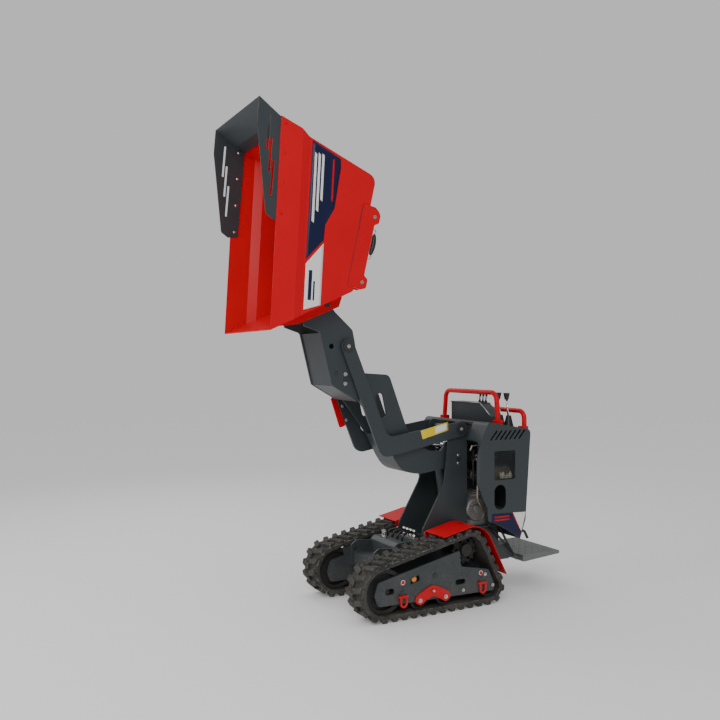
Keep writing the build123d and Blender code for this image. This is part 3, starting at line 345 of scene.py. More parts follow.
# %% Paint and rubber
RED = finish("red_enamel", (0.64, 0.004, 0.012), 0.34, worn=(0.80, 0.10, 0.09), wear=0.5, tone=0.05,
             specular=0.18, dust=0.20, dust_top=0.5, bump=0.02)
# Dark red for the weld beads under the skip: painted shade standing for the shadow line along the brackets'
# lap edge, not the paint's own colour.
SHADE_SEAM = finish("painted_shade_red_seam", (0.16, 0.003, 0.005), 0.5, tone=0.1, bump=0.05, radius=0.001)
GREY = finish("anthracite_powdercoat", (0.032, 0.042, 0.047), 0.46, worn=(0.14, 0.15, 0.15), wear=0.7,
              tone=0.12, dust=0.30, dust_top=0.6, grain=700, bump=0.06)
RUBBER = finish("track_rubber", (0.022, 0.022, 0.021), 0.75, worn=(0.36, 0.34, 0.30), wear=1.0, tone=0.3,
                dust=0.65, dust_top=1.3, dust_colour=(0.120, 0.110, 0.095), grain=260, bump=0.25,
                radius=0.008)

# %% [markdown]
# ## Bare metals
# Wheels are rough cast iron, bolts bright zinc, pins blackened, rods chrome,
# and the step is worn to the steel.
# Metals could share one material with a slider, but each has its own roughness and its own way to soil.

# %% Metals
IRON = finish("running_gear_iron", (0.018, 0.019, 0.020), 0.62, metallic=0.2, worn=(0.13, 0.12, 0.11),
              wear=0.6, dust=0.5, dust_top=0.8, dust_colour=(0.08, 0.07, 0.055), grain=160, bump=0.2)
ALLOY = finish("cast_engine_alloy", (0.42, 0.42, 0.40), 0.42, metallic=0.6, worn=(0.6, 0.6, 0.56), wear=0.7,
               dust=0.4, dust_top=1.8, dust_colour=(0.050, 0.050, 0.047), grain=140, bump=0.25, tone=0.5)
ZINC = finish("bright_zinc", (0.62, 0.62, 0.60), 0.30, metallic=1.0, worn=(0.8, 0.8, 0.8), wear=0.4,
              dust=0.2, grain=300, bump=0.08, radius=0.001)
DULL = finish("blackened_pin", (0.060, 0.064, 0.066), 0.42, metallic=0.7, worn=(0.3, 0.3, 0.3), wear=0.6,
              dust=0.2, grain=300, bump=0.08, radius=0.001)
CHROME = finish("chrome_rod", (0.80, 0.80, 0.82), 0.10, metallic=1.0, grain=900, bump=0.01, tone=0.03,
                radius=0.001)
TAN = finish("heat_stained_silencer", (0.10, 0.078, 0.052), 0.55, metallic=0.4, worn=(0.45, 0.40, 0.32),
             wear=0.6, tone=0.5, grain=200, bump=0.15)
TREAD = finish("worn_tread_plate", (0.20, 0.21, 0.215), 0.42, metallic=0.6, worn=(0.45, 0.45, 0.45), wear=0.9,
               dust=0.35, dust_top=0.5, grain=350, bump=0.1)

# %% [markdown]
# ## A black shroud over a bare casting
# The engine's crankcase is bare alloy, and the shroud above it is black.
# The block could be cut in two for that, but the CAD piece stays whole,
# so a mask over height changes its colour.

# %% Engine shroud
SHROUD_COLOUR, SHROUD_LOW, SHROUD_HIGH = (0.020, 0.020, 0.021), 0.640, 0.700


def two_tone(material, colour, low, high):
    """Second colour over a finish above a height: a mask that rises from 0 at low to 1 at high."""
    tree = material.node_tree
    base = tree.nodes["Principled BSDF"].inputs["Base Color"]
    mask = between(tree, height_of(tree), low, high)
    tree.links.new(coat_over(tree, base.links[0].from_socket, mask, colour), base)
    print(material.name, "turns dark between", low, "and", high, "m")


two_tone(ALLOY, SHROUD_COLOUR, SHROUD_LOW, SHROUD_HIGH)

# %% [markdown]
# ## Mouldings and vinyl
# Knobs, hooks and trims are black mouldings.
# Vinyl is a smooth coloured film, so its edges wear little and its bump is almost nothing.
# Film could be a colour mask on the paint below, but real film stands a little proud.

# %% Mouldings and vinyl
FILM = {"bump": 0.01, "radius": 0.0005}
BLACK = finish("black_moulding", (0.012, 0.012, 0.013), 0.45, worn=(0.06, 0.06, 0.06), wear=0.4, dust=0.1,
               grain=900, bump=0.1)
NAVY = finish("navy_vinyl", (0.010, 0.014, 0.052), 0.35, tone=0.05, specular=0.25, **FILM)
WHITE = finish("white_vinyl", (0.80, 0.80, 0.79), 0.38, tone=0.03, specular=0.25, **FILM)
YELLOW = finish("yellow_vinyl", (0.80, 0.58, 0.012), 0.40, tone=0.05, **FILM)
ORANGE = finish("orange_cap", (0.80, 0.28, 0.01), 0.42, tone=0.08, dust=0.3, radius=0.001)
WRAP = finish("pale_heat_wrap", (0.50, 0.46, 0.38), 0.85, tone=0.3, grain=180, bump=0.4)

# %% [markdown]
# ## A finish for every node
# Each CAD piece needs one finish, which could be set piece by piece through the script.
# A dictionary from finish to node names keeps the whole paint plan on one page.

# %% Paint plan
DRESS = {
    RED: "skip_shell fender_left fender_right front_handle rear_bar bogies floor_brackets safety_prop"
         " skip_lugs tie_shackles",
    GREY: "chassis_frame front_cover tower track_frame_left track_frame_right elbow_left elbow_right"
          " inner_arm head_box canopy canopy_frame skip_guard step_brackets lift_barrel tilt_barrel console",
    RUBBER: "track_left track_right",
    IRON: "front_idlers rear_idlers rollers sprockets drive_motors",
    ALLOY: "engine valve_block",
    DULL: "lift_shafts arm_pins head_pins",
    ZINC: "skip_pins",
    CHROME: "lift_rod tilt_rod",
    BLACK: "levers rope_hooks",
    TAN: "silencer",
    TREAD: "step",
}
for material, names in DRESS.items():
    for name in names.split():
        mesh = nodes[name].data
        mesh.materials.clear()
        mesh.materials.append(material)
print("dressed", sum(len(names.split()) for names in DRESS.values()), "of", len(nodes), "nodes")

# %% [markdown]
# ## The studio floor
# A product photo stands on a sheet that runs out of sight. A curved sweep of paper could hide the horizon;
# a very large pale plane with a faint glow does it too, and is right from every side.

# %% Floor
FLOOR_REACH, FLOOR_GLOW, FLOOR_POINTS = 60.0, 0.10, 5
span = np.linspace(-FLOOR_REACH, FLOOR_REACH, FLOOR_POINTS)
floor_x, floor_y = np.meshgrid(span, span)
floor_grid = np.stack([floor_x, floor_y, np.zeros_like(floor_x)], -1)
floor_paint = finish("studio_floor", (0.86, 0.86, 0.86), 0.8, tone=0.01, bump=0.0)
floor_paint.node_tree.nodes["Principled BSDF"].inputs["Emission Strength"].default_value = FLOOR_GLOW
floor = mesh_piece("floor", floor_grid, quads(FLOOR_POINTS, FLOOR_POINTS, False), floor_paint)


# %% [markdown]
# ## Turned shapes
# Bolts, caps, fittings and drums are all turned on a lathe in the workshop.
# Blender's Spin would need one mesh and one call for each; here a profile is carried round many axes at once.

# %% Turned shapes
def axes_of(ways):
    """For each way, a right-handed set of axes (a, b, way), stacked as rows, by two cross products."""
    ways = np.asarray(ways, float)
    ways = ways / np.linalg.norm(ways, axis=-1, keepdims=True)
    helper = np.where(np.abs(ways[..., 2:3]) < 0.9, [0.0, 0.0, 1.0], [1.0, 0.0, 0.0])
    a = np.cross(helper, ways)
    a = a / np.linalg.norm(a, axis=-1, keepdims=True)
    return np.stack([a, np.cross(ways, a), ways], axis=-2)


def turned_on(spots, ways, radius, height):
    """Profiles turned about an axis at each spot; radius and height are (rows, columns) over the turn."""
    radius, height = np.broadcast_arrays(radius, height)
    angle = np.linspace(0, 2 * pi, radius.shape[1], endpoint=False)
    local = np.stack([radius * np.cos(angle), radius * np.sin(angle), height], -1)
    ways = np.broadcast_to(ways, (len(spots), 3))
    return np.asarray(spots, float)[:, None, None, :] + np.einsum("rci,nij->nrcj", local, axes_of(ways))


def lathe(profile, sides=32):
    """A list of (radius, height) points as the arrays that turned_on takes, closed by a pole at its foot."""
    profile = np.array([(0.0, profile[0][1]), *profile])
    return np.repeat(profile[:, :1], sides, 1), np.repeat(profile[:, 1:], sides, 1)


def left_and_right(points, face):
    """Spots on the left and right faces of a side plate, with their outward ways."""
    spots = [(x, sign * face, z) for sign in (1, -1) for x, z in points]
    ways = [(0, sign, 0) for sign in (1, -1) for _ in points]
    return spots, ways


print("a turned shape that points left has the axes", axes_of((0, 1, 0)).tolist())


# %% [markdown]
# ## Hexagon bolts
# Hexagon heads on washers hold the bogies, frames, guard and covers.
# A six-sided cylinder would lack the washer and the chamfer. Here a head is a turned profile whose radius
# follows the hexagon: the flat's distance divided by the cosine of the angle to the nearest flat.

# %% Bolts
HEAD_STEPS, WASHER, CHAMFER = 24, 0.85, 0.92
HEAD_LEVELS = np.array([[0.0], [0.0], [0.12], [0.12], [0.60], [0.68], [0.68]])


def bolts(name, spots, ways, size, body, material=ZINC, slot="zinc_steel"):
    """Hexagon heads of a size over flats: rings of foot, washer, flats, chamfer and top, closed by poles."""
    angle = np.linspace(0, 2 * pi, HEAD_STEPS, endpoint=False)
    hexagon = 0.5 / np.cos((angle + pi / 6) % (pi / 3) - pi / 6)
    washer, point = np.full(HEAD_STEPS, WASHER), np.zeros(HEAD_STEPS)
    radius = np.stack([point, washer, washer, hexagon, hexagon, hexagon * CHAMFER, point])
    heads = turned_on(spots, ways, radius * size, HEAD_LEVELS * size)
    return grids_piece(name, heads, True, material, body, slot, smooth=False)


BOGIE_PIN, ROLLER_REACH, ROLLER_Z = (0.0175, 0.149), 0.0935, 0.100
FRAME_FACE, BOGIE_FACE, BOGIE_PIN_FACE = 0.384, 0.394, 0.395
roller_spots = [(BOGIE_PIN[0] + reach, ROLLER_Z) for reach in (ROLLER_REACH, -ROLLER_REACH)]
bolts("bogie_bolts", *left_and_right(roller_spots, BOGIE_FACE), 0.016, "chassis")
bolts("bogie_pin_bolts", *left_and_right([BOGIE_PIN], BOGIE_PIN_FACE), 0.015, "chassis")
frame_spots = [(-0.215, 0.118), (-0.385, 0.195), (-0.445, 0.120)]
bolts("frame_bolts", *left_and_right(frame_spots, FRAME_FACE), 0.013, "chassis")

# %% [markdown]
# ## Bolts on the lift
# The parallelogram turns on four shafts, whose ends are held by bolts and keeper plates.
# Beside the lower shaft the arm passes very close, so that keeper has low button screws in place of hexagons.

# %% Lift bolts
PIVOT_A, PIVOT_B = (-0.353, 1.102), (-0.353, 0.904)
PIVOT_C, PIVOT_D = (0.485, 1.440), (0.485, 1.638)
PLATE_FACE, ELBOW_FACE, CAP_FACE = 0.150, 0.171, 0.179
bolts("shaft_bolts", *left_and_right([PIVOT_A, PIVOT_D], CAP_FACE), 0.014, "lift_arm")
keeper_spots = [(PIVOT_B[0] + 0.008, PIVOT_B[1] + rise) for rise in (0.026, -0.026)]
button = lathe([(0.0095, 0.0), (0.0095, 0.0012), (0.007, 0.0030), (0.003, 0.0034), (0.0, 0.0034)], 24)
buttons = turned_on(*left_and_right(keeper_spots, PLATE_FACE), *button)
grids_piece("keeper_screws", buttons, True, ZINC, "chassis", "zinc_steel")
head_spots = [(PIVOT_C[0] + 0.008, PIVOT_C[1] + 0.028), (PIVOT_C[0] + 0.010, PIVOT_C[1] - 0.028)]
bolts("head_bolts", *left_and_right(head_spots, PLATE_FACE), 0.015, "head")
prop_spots = [(0.3555, -0.155, 1.256), (0.325, -0.155, 1.165)]
bolts("prop_bolts", prop_spots, (0, 1, 0), 0.014, "lift_arm")
foot_spots = [(-0.088, 0.438), (-0.108, 0.335), (-0.385, 0.335)]
bolts("tower_foot_bolts", *left_and_right(foot_spots, PLATE_FACE), 0.018, "chassis")

# %% [markdown]
# ## A drawing of the skip's wall
# The skip is drawn level and then tipped about its hinge, so places on its wall are awkward in machine axes.
# They could be measured one by one; a map from (run along the rim, depth below it) to the tipped wall
# lets bolts and vinyl be placed as on a side drawing.

# %% Skip wall
PIVOT_P, SKIP_TIP = (0.625, 1.888), radians(77)
RIM_FRONT, RIM_REAR = np.array([0.268, 0.404]), np.array([-0.905, 0.605])
RIM_LENGTH = hypot(*(RIM_REAR - RIM_FRONT))
RIM_WAY = (RIM_REAR - RIM_FRONT) / RIM_LENGTH
RIM_DOWN = np.array([-RIM_WAY[1], RIM_WAY[0]])
WALL_DEPTH, WALL_HALF = [0.0, 0.137, 0.194, 0.760], [0.375, 0.375, 0.351, 0.328]


def tipped(level):
    """Side points of the level skip in the photo's pose: a rotation by the tip angle about the hinge."""
    x, z = np.moveaxis(np.asarray(level, float), -1, 0)
    turned_x = PIVOT_P[0] + x * cos(SKIP_TIP) + z * sin(SKIP_TIP)
    return np.stack([turned_x, PIVOT_P[1] - x * sin(SKIP_TIP) + z * cos(SKIP_TIP)], -1)


def on_side(points, y):
    """Side points (x, z) set at y, which may be one value or an array."""
    points = np.asarray(points, float)
    return np.stack([points[..., 0], np.broadcast_to(y, points.shape[:-1]), points[..., 1]], -1)


def skip_wall(run, depth, out=0.0):
    """Points on the skip's left wall: upright band, joggle and taper over depth, then out from the sheet."""
    run, depth = np.asarray(run, float), np.asarray(depth, float)
    level = RIM_FRONT + RIM_WAY * run[..., None] + RIM_DOWN * depth[..., None]
    return on_side(tipped(level), np.interp(depth, WALL_DEPTH, WALL_HALF) + out)


print("the skip's rim is", round(RIM_LENGTH, 3), "m long and starts at", skip_wall(0, 0).round(3))

# %% [markdown]
# ## Guard bolts
# Four bolts a side clamp the guard inside the skip's rim, with red heads outside and bright nuts inside.
# Both rows use the same four places, so they can't drift apart.

# %% Guard bolts
GUARD_BOLT, GUARD_DEPTH, GUARD_SHEETS = 0.012, 0.026, 0.008
MIRROR = np.array([1, -1, 1])
guard_run = RIM_LENGTH - np.array([0.035, 0.20, 0.37, 0.54])
guard_outer = skip_wall(guard_run, np.full_like(guard_run, GUARD_DEPTH))
guard_inner = guard_outer - [0, GUARD_SHEETS, 0]
bolts("guard_bolts_left", guard_inner, (0, -1, 0), GUARD_BOLT, "skip")
bolts("guard_bolts_right", guard_inner * MIRROR, (0, 1, 0), GUARD_BOLT, "skip")
bolts("guard_heads_left", guard_outer, (0, 1, 0), GUARD_BOLT, "skip", RED, "red_paint")
bolts("guard_heads_right", guard_outer * MIRROR, (0, -1, 0), GUARD_BOLT, "skip", RED, "red_paint")

# %% [markdown]
# ## Vinyl film
# Coloured film is cut flat and pressed on, so it follows the wall below it.
# A plane shrink-wrapped to the steel would do, but its edges wander.
# Here a sheet is ruled straight across between two edge lines and laid on the wall by formula.

# %% Vinyl helpers
VINYL = 0.0005
SHEET_ROWS, WALL_COLUMNS, FACE_COLUMNS = 7, 41, 21
print("film is", VINYL * 1000, "mm thick")


def ruled(lower, upper, columns):
    """Grid between two polylines: both are divided evenly by length and joined by straight rules."""
    edges = []
    for line in (lower, upper):
        line = np.asarray(line, float)
        length = np.concatenate([[0], np.cumsum(np.linalg.norm(np.diff(line, axis=0), axis=1))])
        share = np.linspace(0, length[-1], columns)
        edges.append(np.stack([np.interp(share, length, line[:, axis]) for axis in (0, 1)], -1))
    across = np.linspace(0, 1, SHEET_ROWS)[:, None, None]
    return edges[0] * (1 - across) + edges[1] * across


def thicken(piece, thickness):
    """Give an open sheet a closed wall behind its face."""
    wall = piece.modifiers.new("wall", "SOLIDIFY")
    wall.thickness, wall.offset = thickness, -1.0
    return piece


def sheets_left(name, grids, material, body):
    """Sheets that face left: a grid whose first quad turns right has its columns reversed."""
    grids = np.array(grids)
    turn = np.cross(grids[:, 0, 1] - grids[:, 0, 0], grids[:, 1, 0] - grids[:, 0, 0])[:, 1]
    grids = np.where(turn[:, None, None, None] > 0, grids, grids[:, :, ::-1])
    return thicken(grids_piece(name, grids, False, material, body, "black_plastic"), VINYL)


def on_wall(pairs, layer=1):
    """Sheets on the skip's left wall from pairs of edge lines in (run, depth), so many layers of film out."""
    grids = [ruled(top, low, WALL_COLUMNS) for top, low in pairs]
    return [skip_wall(grid[..., 0], grid[..., 1], layer * VINYL) for grid in grids]


def on_face(pairs, face, layer=1):
    """Flat sheets on a plate's left face from pairs of edge lines in (x, z), so many layers of film out."""
    return [on_side(ruled(top, low, FACE_COLUMNS), face + layer * VINYL) for top, low in pairs]


# %% [markdown]
# ## Panels on the skip
# A navy and a white panel lie on the skip's left side just below its joggle, with a slanted joint between.
# One panel could be a colour mask in the paint, but film has an edge that catches the light.
# Plain bars and a stripe of the same colours fill them, as a second layer of film.

# %% Skip panels
def bar_lines(start, width, top, low, lean=0.0):
    """Edge lines of a bar on the skip's wall: width and lean run along the rim, top to low is depth."""
    return [(start, top), (start + width, top)], [(start + lean, low), (start + lean + width, low)]


navy = ([(1.099, 0.208), (0.760, 0.205), (0.417, 0.203)],
        [(1.025, 0.396), (0.978, 0.400), (0.731, 0.370), (0.629, 0.315), (0.540, 0.311)])
white = ([(0.394, 0.204), (0.132, 0.204)], [(0.523, 0.312), (0.168, 0.311)])
sheets_left("navy_panel", on_wall([navy]), NAVY, "skip")
sheets_left("white_panel", on_wall([white]), WHITE, "skip")
BARS_END, BAR_HEIGHT, BAR_LEAN = 1.035, 0.015, -0.010
white_bars = [bar_lines(start, BARS_END - start, top, top + BAR_HEIGHT, BAR_LEAN)
              for start, top in ((0.640, 0.226), (0.705, 0.250), (0.770, 0.274))]
sheets_left("navy_panel_bars", on_wall(white_bars, 2), WHITE, "skip")
red_stripe = ([(1.015, 0.345), (0.770, 0.345)], [(1.015, 0.357), (0.770, 0.357)])
sheets_left("navy_panel_stripe", on_wall([red_stripe], 2), RED, "skip")
dark_bars = [bar_lines(0.190, 0.170, 0.226, 0.248), bar_lines(0.190, 0.110, 0.258, 0.268)]
sheets_left("white_panel_bars", on_wall(dark_bars, 2), NAVY, "skip")

# %% [markdown]
# ## Patch on the arm, film on the skirt
# The left arm has a yellow patch with a white inset, and the canopy's skirt a navy and a white field
# with a red line between.
# They lie on flat plates, so no wall map is needed: their edge lines are drawn in side coordinates.

# %% Arm and skirt film
patch_rear = np.array([(-0.252, 1.098), (-0.249, 1.1535)])
patch_front = np.array([(-0.052, 1.049), (-0.037, 1.103)])
patch_low, patch_rise = patch_rear[0], patch_rear[1] - patch_rear[0]
patch_way = patch_front[0] - patch_low
inset = [[patch_low + patch_way * share + patch_rise * rise for share in (0.06, 0.50)]
         for rise in (0.14, 0.86)]
sheets_left("patch_yellow", on_face([(patch_rear, patch_front)], ELBOW_FACE), YELLOW, "lift_arm")
sheets_left("patch_white", on_face([inset], ELBOW_FACE, 2), WHITE, "lift_arm")

CANOPY_FACE = 0.360
skirt_navy = ([(-0.458, 0.566), (-0.624, 0.560)],
              [(-0.458, 0.512), (-0.497, 0.502), (-0.641, 0.422), (-0.690, 0.390), (-0.697, 0.428)])
skirt_line = ([(-0.624, 0.560), (-0.632, 0.560)], [(-0.695, 0.420), (-0.700, 0.432)])
skirt_white = ([(-0.632, 0.560), (-0.739, 0.556)], [(-0.700, 0.432), (-0.705, 0.436)])
skirt_bars = [([(-0.480, z), (-0.600, z)], [(-0.480, z - 0.010), (-0.604, z - 0.010)])
              for z in (0.546, 0.526)]
sheets_left("skirt_navy", on_face([skirt_navy], CANOPY_FACE), NAVY, "chassis")
sheets_left("skirt_line", on_face([skirt_line], CANOPY_FACE), RED, "chassis")
sheets_left("skirt_white", on_face([skirt_white], CANOPY_FACE), WHITE, "chassis")
sheets_left("skirt_bars", on_face(skirt_bars, CANOPY_FACE, 2), RED, "chassis")

# %% [markdown]
# ## Round marks by the tie-down points
# A red disc on a white ring shows where a strap may be hooked. A ring could be cut out of a sheet;
# two low turned discs, one on the other, need no cut and have closed edges.

# %% Round marks
mark_spots = [(0.228, FRAME_FACE, 0.223), (-0.352, FRAME_FACE, 0.208)]
MARKS = (("mark_rings", 0.0150, VINYL, WHITE), ("mark_discs", 0.0120, 2 * VINYL, RED))
for name, size, rise, material in MARKS:
    disc = lathe([(size, 0.0), (size, rise), (0.0, rise)])
    discs = turned_on(mark_spots, (0, 1, 0), *disc)
    grids_piece(name, discs, True, material, "chassis", "black_plastic", smooth=False)


# %% [markdown]
# ## Tubes along a path
# Wires, pipes, sticks and weld beads are all round bars that follow a line.
# Blender's curves with a bevel would do; a circle carried along the path as an array is one mesh
# from the start, and its radius may change on the way. Corners of bent pipes are rounded by quadratic arcs.

# %% Tubes
def swept(path, radius, sides=12):
    """Round tube along an (n, 3) path: circles square to the path, closed by a point at each end."""
    path = np.asarray(path, float)
    axes = axes_of(np.gradient(path, axis=0))
    angle = np.linspace(0, 2 * pi, sides, endpoint=False)[:, None]
    ring = axes[:, None, 0] * np.cos(angle) + axes[:, None, 1] * np.sin(angle)
    rings = path[:, None] + ring * np.broadcast_to(radius, len(path))[:, None, None]
    ends = np.repeat(path[[0, -1]][:, None], sides, 1)
    return np.concatenate([ends[:1], rings, ends[1:]])


def bent(corners, radius, steps=8):
    """Path through corners, each rounded by a quadratic arc from radius before it to radius after."""
    corners = np.asarray(corners, float)
    before, at, after = corners[:-2], corners[1:-1], corners[2:]
    start = at + (before - at) / np.linalg.norm(before - at, axis=1, keepdims=True) * radius
    end = at + (after - at) / np.linalg.norm(after - at, axis=1, keepdims=True) * radius
    t = np.linspace(0, 1, steps)[None, :, None]
    arcs = (1 - t) ** 2 * start[:, None] + 2 * t * (1 - t) * at[:, None] + t**2 * end[:, None]
    return np.concatenate([corners[:1], arcs.reshape(-1, 3), corners[-1:]])


def tubes_piece(name, paths, radius, material, body, slot, sides=12):
    """One mesh of equal round tubes along paths with as many points each."""
    tubes = np.stack([swept(path, radius, sides) for path in paths])
    return grids_piece(name, tubes, True, material, body, slot)


print("one rounded corner makes a path of", len(bent([(0, 0, 0), (1, 0, 0), (1, 1, 0)], 0.2)), "points")


# %% [markdown]
# ## Woven wire in the canopy's windows
# Woven wire closes each window so that fingers stay out of the engine bay.
# A picture of a mesh would be quicker, but flat from the side.
# A wire is a thin tube that goes over one cross wire and under the next: a cosine whose half wave is
# the pitch. Neighbours start on opposite sides, which is all that makes it a weave.

# %% Window mesh
WIRE, PITCH, WIRE_INSET, WIRE_POINTS = 0.0011, 0.0114, 0.0035, 61
WINDOW_X, WINDOW_Z = (-0.651, -0.480), (0.780, 0.966)


def weave(span, other, flip):
    """Paths of parallel wires as (along, side, across): side is a cosine that neighbours start opposite."""
    along = np.linspace(*span, WIRE_POINTS)
    across = np.arange(other[0] + PITCH / 2, other[1], PITCH)
    sign = flip * (-1.0) ** np.arange(len(across))
    side = WIRE * sign[:, None] * np.cos(pi * (along - span[0]) / PITCH)
    return [np.stack([along, row, np.full(WIRE_POINTS, level)], -1) for row, level in zip(side, across)]


level_wires = np.array(weave(WINDOW_X, WINDOW_Z, 1))
upright_wires = np.array(weave(WINDOW_Z, WINDOW_X, -1))[..., ::-1]
for sign, side in ((1, "left"), (-1, "right")):
    shift = np.array([0, sign * (CANOPY_FACE - WIRE_INSET), 0])
    for run, wires in (("level", level_wires), ("upright", upright_wires)):
        tubes_piece(f"window_{run}_{side}", wires + shift, WIRE, GREY, "chassis", "grey_paint", 6)
print("wires in a window", len(level_wires), "level and", len(upright_wires), "upright")

# %% [markdown]
# ## Levers and console
# The drive levers are chromed sticks in rubber boots, and the console's cover has a bright folded edge.
# A rubber trim closes the roof's front edge behind the tower.
# A stick could be a cylinder turned into place; as a tube it needs only its two ends.

# %% Levers and console
drive_sticks = [[(-0.6946, y - 0.0032, 1.182), (-0.6908, y - 0.0121, 1.290)] for y in (0.151, 0.238)]
valve_sticks = [[(-0.6390, y, 1.276), (-0.6433, y, 1.306)] for y in (-0.002, 0.032, 0.066)]
tubes_piece("lever_sticks", drive_sticks + valve_sticks, 0.0062, CHROME, "chassis", "chrome_rod")
lip = bent([(-0.575, -0.248, 1.264), (-0.575, 0.084, 1.264), (-0.575, 0.193, 1.186)], 0.006)
tubes_piece("console_lip", [lip], 0.003, ZINC, "chassis", "zinc_steel", 8)
TRIM_X, TRIM_HALF, TRIM_Z = -0.434, 0.204, 1.136
trim = [(TRIM_X, -TRIM_HALF, TRIM_Z), (TRIM_X, TRIM_HALF, TRIM_Z)]
tubes_piece("roof_trim", [trim], 0.0105, BLACK, "chassis", "black_plastic", 16)

# %% [markdown]
# ## The flywheel cover
# Through the canopy's open front one looks at the engine's left side, where a finned cover keeps it cool.
# Fins could be many thin boxes; here they are waves in the height of one turned surface,
# a cosine round the turn that is made steep and cut off flat.

# %% Flywheel cover
FLYWHEEL, FINS, FIN_RISE, FIN_STEEP, FIN_SIDES = (-0.490, 0.060, 0.560), 28, 0.005, 3, 224
drum = [(0.078, 0.0), (0.078, 0.092), (0.073, 0.102), (0.070, 0.104), (0.042, 0.106), (0.040, 0.098),
        (0.030, 0.098), (0.026, 0.110), (0.0, 0.112)]
drum_radius, drum_height = lathe(drum, FIN_SIDES)
fin_turn = np.linspace(0, 2 * pi, FIN_SIDES, endpoint=False)
finned = np.array([0, 0, 0, 0, 1, 1, 0, 0, 0, 0])[:, None]
drum_height = drum_height + FIN_RISE * finned * np.clip(FIN_STEEP * np.cos(FINS * fin_turn), -1, 1)
flywheel = turned_on([FLYWHEEL], (0, 1, 0), drum_radius, drum_height)
grids_piece("flywheel_cover", flywheel, True, ALLOY, "chassis", "cast_iron", smooth=False)

# %% [markdown]
# ## Fins, filter and carburettor
# The cylinder has level cooling fins, and above it sit a black air filter and a bright carburettor.
# A ready model of an engine would be closer, but only a narrow slot shows it,
# so plain turned shapes are enough.

# %% Engine pieces
FIN_FACE, FIN_RADIUS, FIN_X = 0.121, 0.0045, (-0.655, -0.484)
fin_lines = [[(x, FIN_FACE, z) for x in FIN_X] for z in np.arange(0.602, 0.725, 0.016)]
tubes_piece("cylinder_fins", fin_lines, FIN_RADIUS, ALLOY, "chassis", "cast_iron", 8)
air_filter = [(0.036, 0.0), (0.036, 0.060), (0.039, 0.062), (0.039, 0.082), (0.030, 0.088), (0.008, 0.090),
              (0.008, 0.098), (0.0, 0.098)]
filter_can = turned_on([(-0.468, 0.088, 0.790)], (0, 1, 0), *lathe(air_filter))
grids_piece("air_filter", filter_can, True, BLACK, "chassis", "black_plastic")
carburettor = [(0.022, 0.0), (0.022, 0.026), (0.030, 0.028), (0.030, 0.046), (0.018, 0.050), (0.018, 0.064),
               (0.0, 0.066)]
carburettor_body = turned_on([(-0.500, 0.130, 0.905)], (0, 1, 0), *lathe(carburettor))
grids_piece("carburettor", carburettor_body, True, ZINC, "chassis", "zinc_steel")

# %% [markdown]
# ## Pipes on the engine
# A lifting eye, a fuel pipe and a drain pipe cross the slot in front of the engine.
# Each is a tube along a few corners. The pipes are fixed at both ends, so they are rigid bends.

# %% Engine pipes
eye = bent([(-0.485, 0.110, 0.950), (-0.438, 0.150, 0.950), (-0.442, 0.172, 0.988), (-0.500, 0.172, 0.992),
            (-0.520, 0.128, 0.958)], 0.014)
fuel_pipe = bent([(-0.540, 0.130, 0.940), (-0.510, 0.185, 0.935), (-0.440, 0.185, 0.900),
                  (-0.448, 0.180, 0.740), (-0.495, 0.112, 0.690)], 0.030)
drain_pipe = bent([(-0.560, 0.130, 0.890), (-0.500, 0.200, 0.850), (-0.470, 0.200, 0.800),
                   (-0.466, 0.195, 0.640), (-0.560, 0.140, 0.530)], 0.025)
tubes_piece("lifting_eye", [eye], 0.006, ZINC, "chassis", "zinc_steel", 10)
tubes_piece("fuel_pipe", [fuel_pipe], 0.0065, BLACK, "chassis", "black_plastic")
tubes_piece("drain_pipe", [drain_pipe], 0.0055, WRAP, "chassis", "zinc_steel")

# %% [markdown]
# ## Heat wrap behind the window
# A pale wrap lies on the silencer and shows low in the window, with an uneven upper edge.
# It could be sculpted; a sheet whose edge and ripple are sums of sines looks as torn and stays a formula.

# %% Heat wrap
WRAP_START, WRAP_LENGTH, WRAP_FACE, WRAP_FOOT, WRAP_WALL = -0.540, 0.100, 0.3345, 0.782, 0.0015
u, v = np.meshgrid(np.linspace(0, 1, 61), np.linspace(0, 1, 13))
wrap_top = 0.034 + 0.010 * np.sin(9 * u) + 0.006 * np.sin(23 * u + 1)
ripple = 0.0045 + 0.003 * np.sin(31 * u + 4 * v) * np.sin(7 * v + 5 * u)
heat_wrap = np.stack([WRAP_START - WRAP_LENGTH * u, WRAP_FACE + ripple, WRAP_FOOT + wrap_top * v], -1)
thicken(grids_piece("heat_wrap", heat_wrap[None, :, ::-1], False, WRAP, "chassis", "zinc_steel"), WRAP_WALL)

# %% [markdown]
# ## Spool valve and its pipes
# Between the tower's feet the spool valve feeds the cylinders through bright fittings and bent steel pipes.
# Loose hoses would have to hang and swing; these run from the valve into the cover, so they are rigid bends.

# %% Hydraulics
VALVE_X, VALVE_TOP, COVER_TOP = -0.059, 0.396, 0.398
valve_rows = (-0.060, -0.020, 0.020, 0.060)
fitting = [(0.015, -0.004), (0.015, 0.018), (0.011, 0.021), (0.011, 0.030), (0.014, 0.032), (0.014, 0.050),
           (0.009, 0.054), (0.0, 0.055)]
fittings = turned_on([(VALVE_X, y, VALVE_TOP) for y in valve_rows], (0, 0, 1), *lathe(fitting, 24))
grids_piece("valve_fittings", fittings, True, ZINC, "chassis", "zinc_steel")
pipes = [bent([(VALVE_X, y, 0.436), (0.000, y * 1.2, 0.442), (0.040, y * 1.5, 0.434),
               (0.055, y * 1.5, 0.396)], 0.016) for y in valve_rows]
tubes_piece("valve_pipes", pipes, 0.0075, BLACK, "chassis", "black_plastic")
tee = [(0.018, -0.004), (0.018, 0.010), (0.012, 0.012), (0.012, 0.026), (0.016, 0.028), (0.016, 0.040),
       (0.0, 0.042)]
tees = turned_on([(0.085, -0.085, COVER_TOP), (0.105, -0.045, COVER_TOP)], (0, 0, 1), *lathe(tee, 6))
grids_piece("cover_fittings", tees, True, ZINC, "chassis", "zinc_steel", smooth=False)

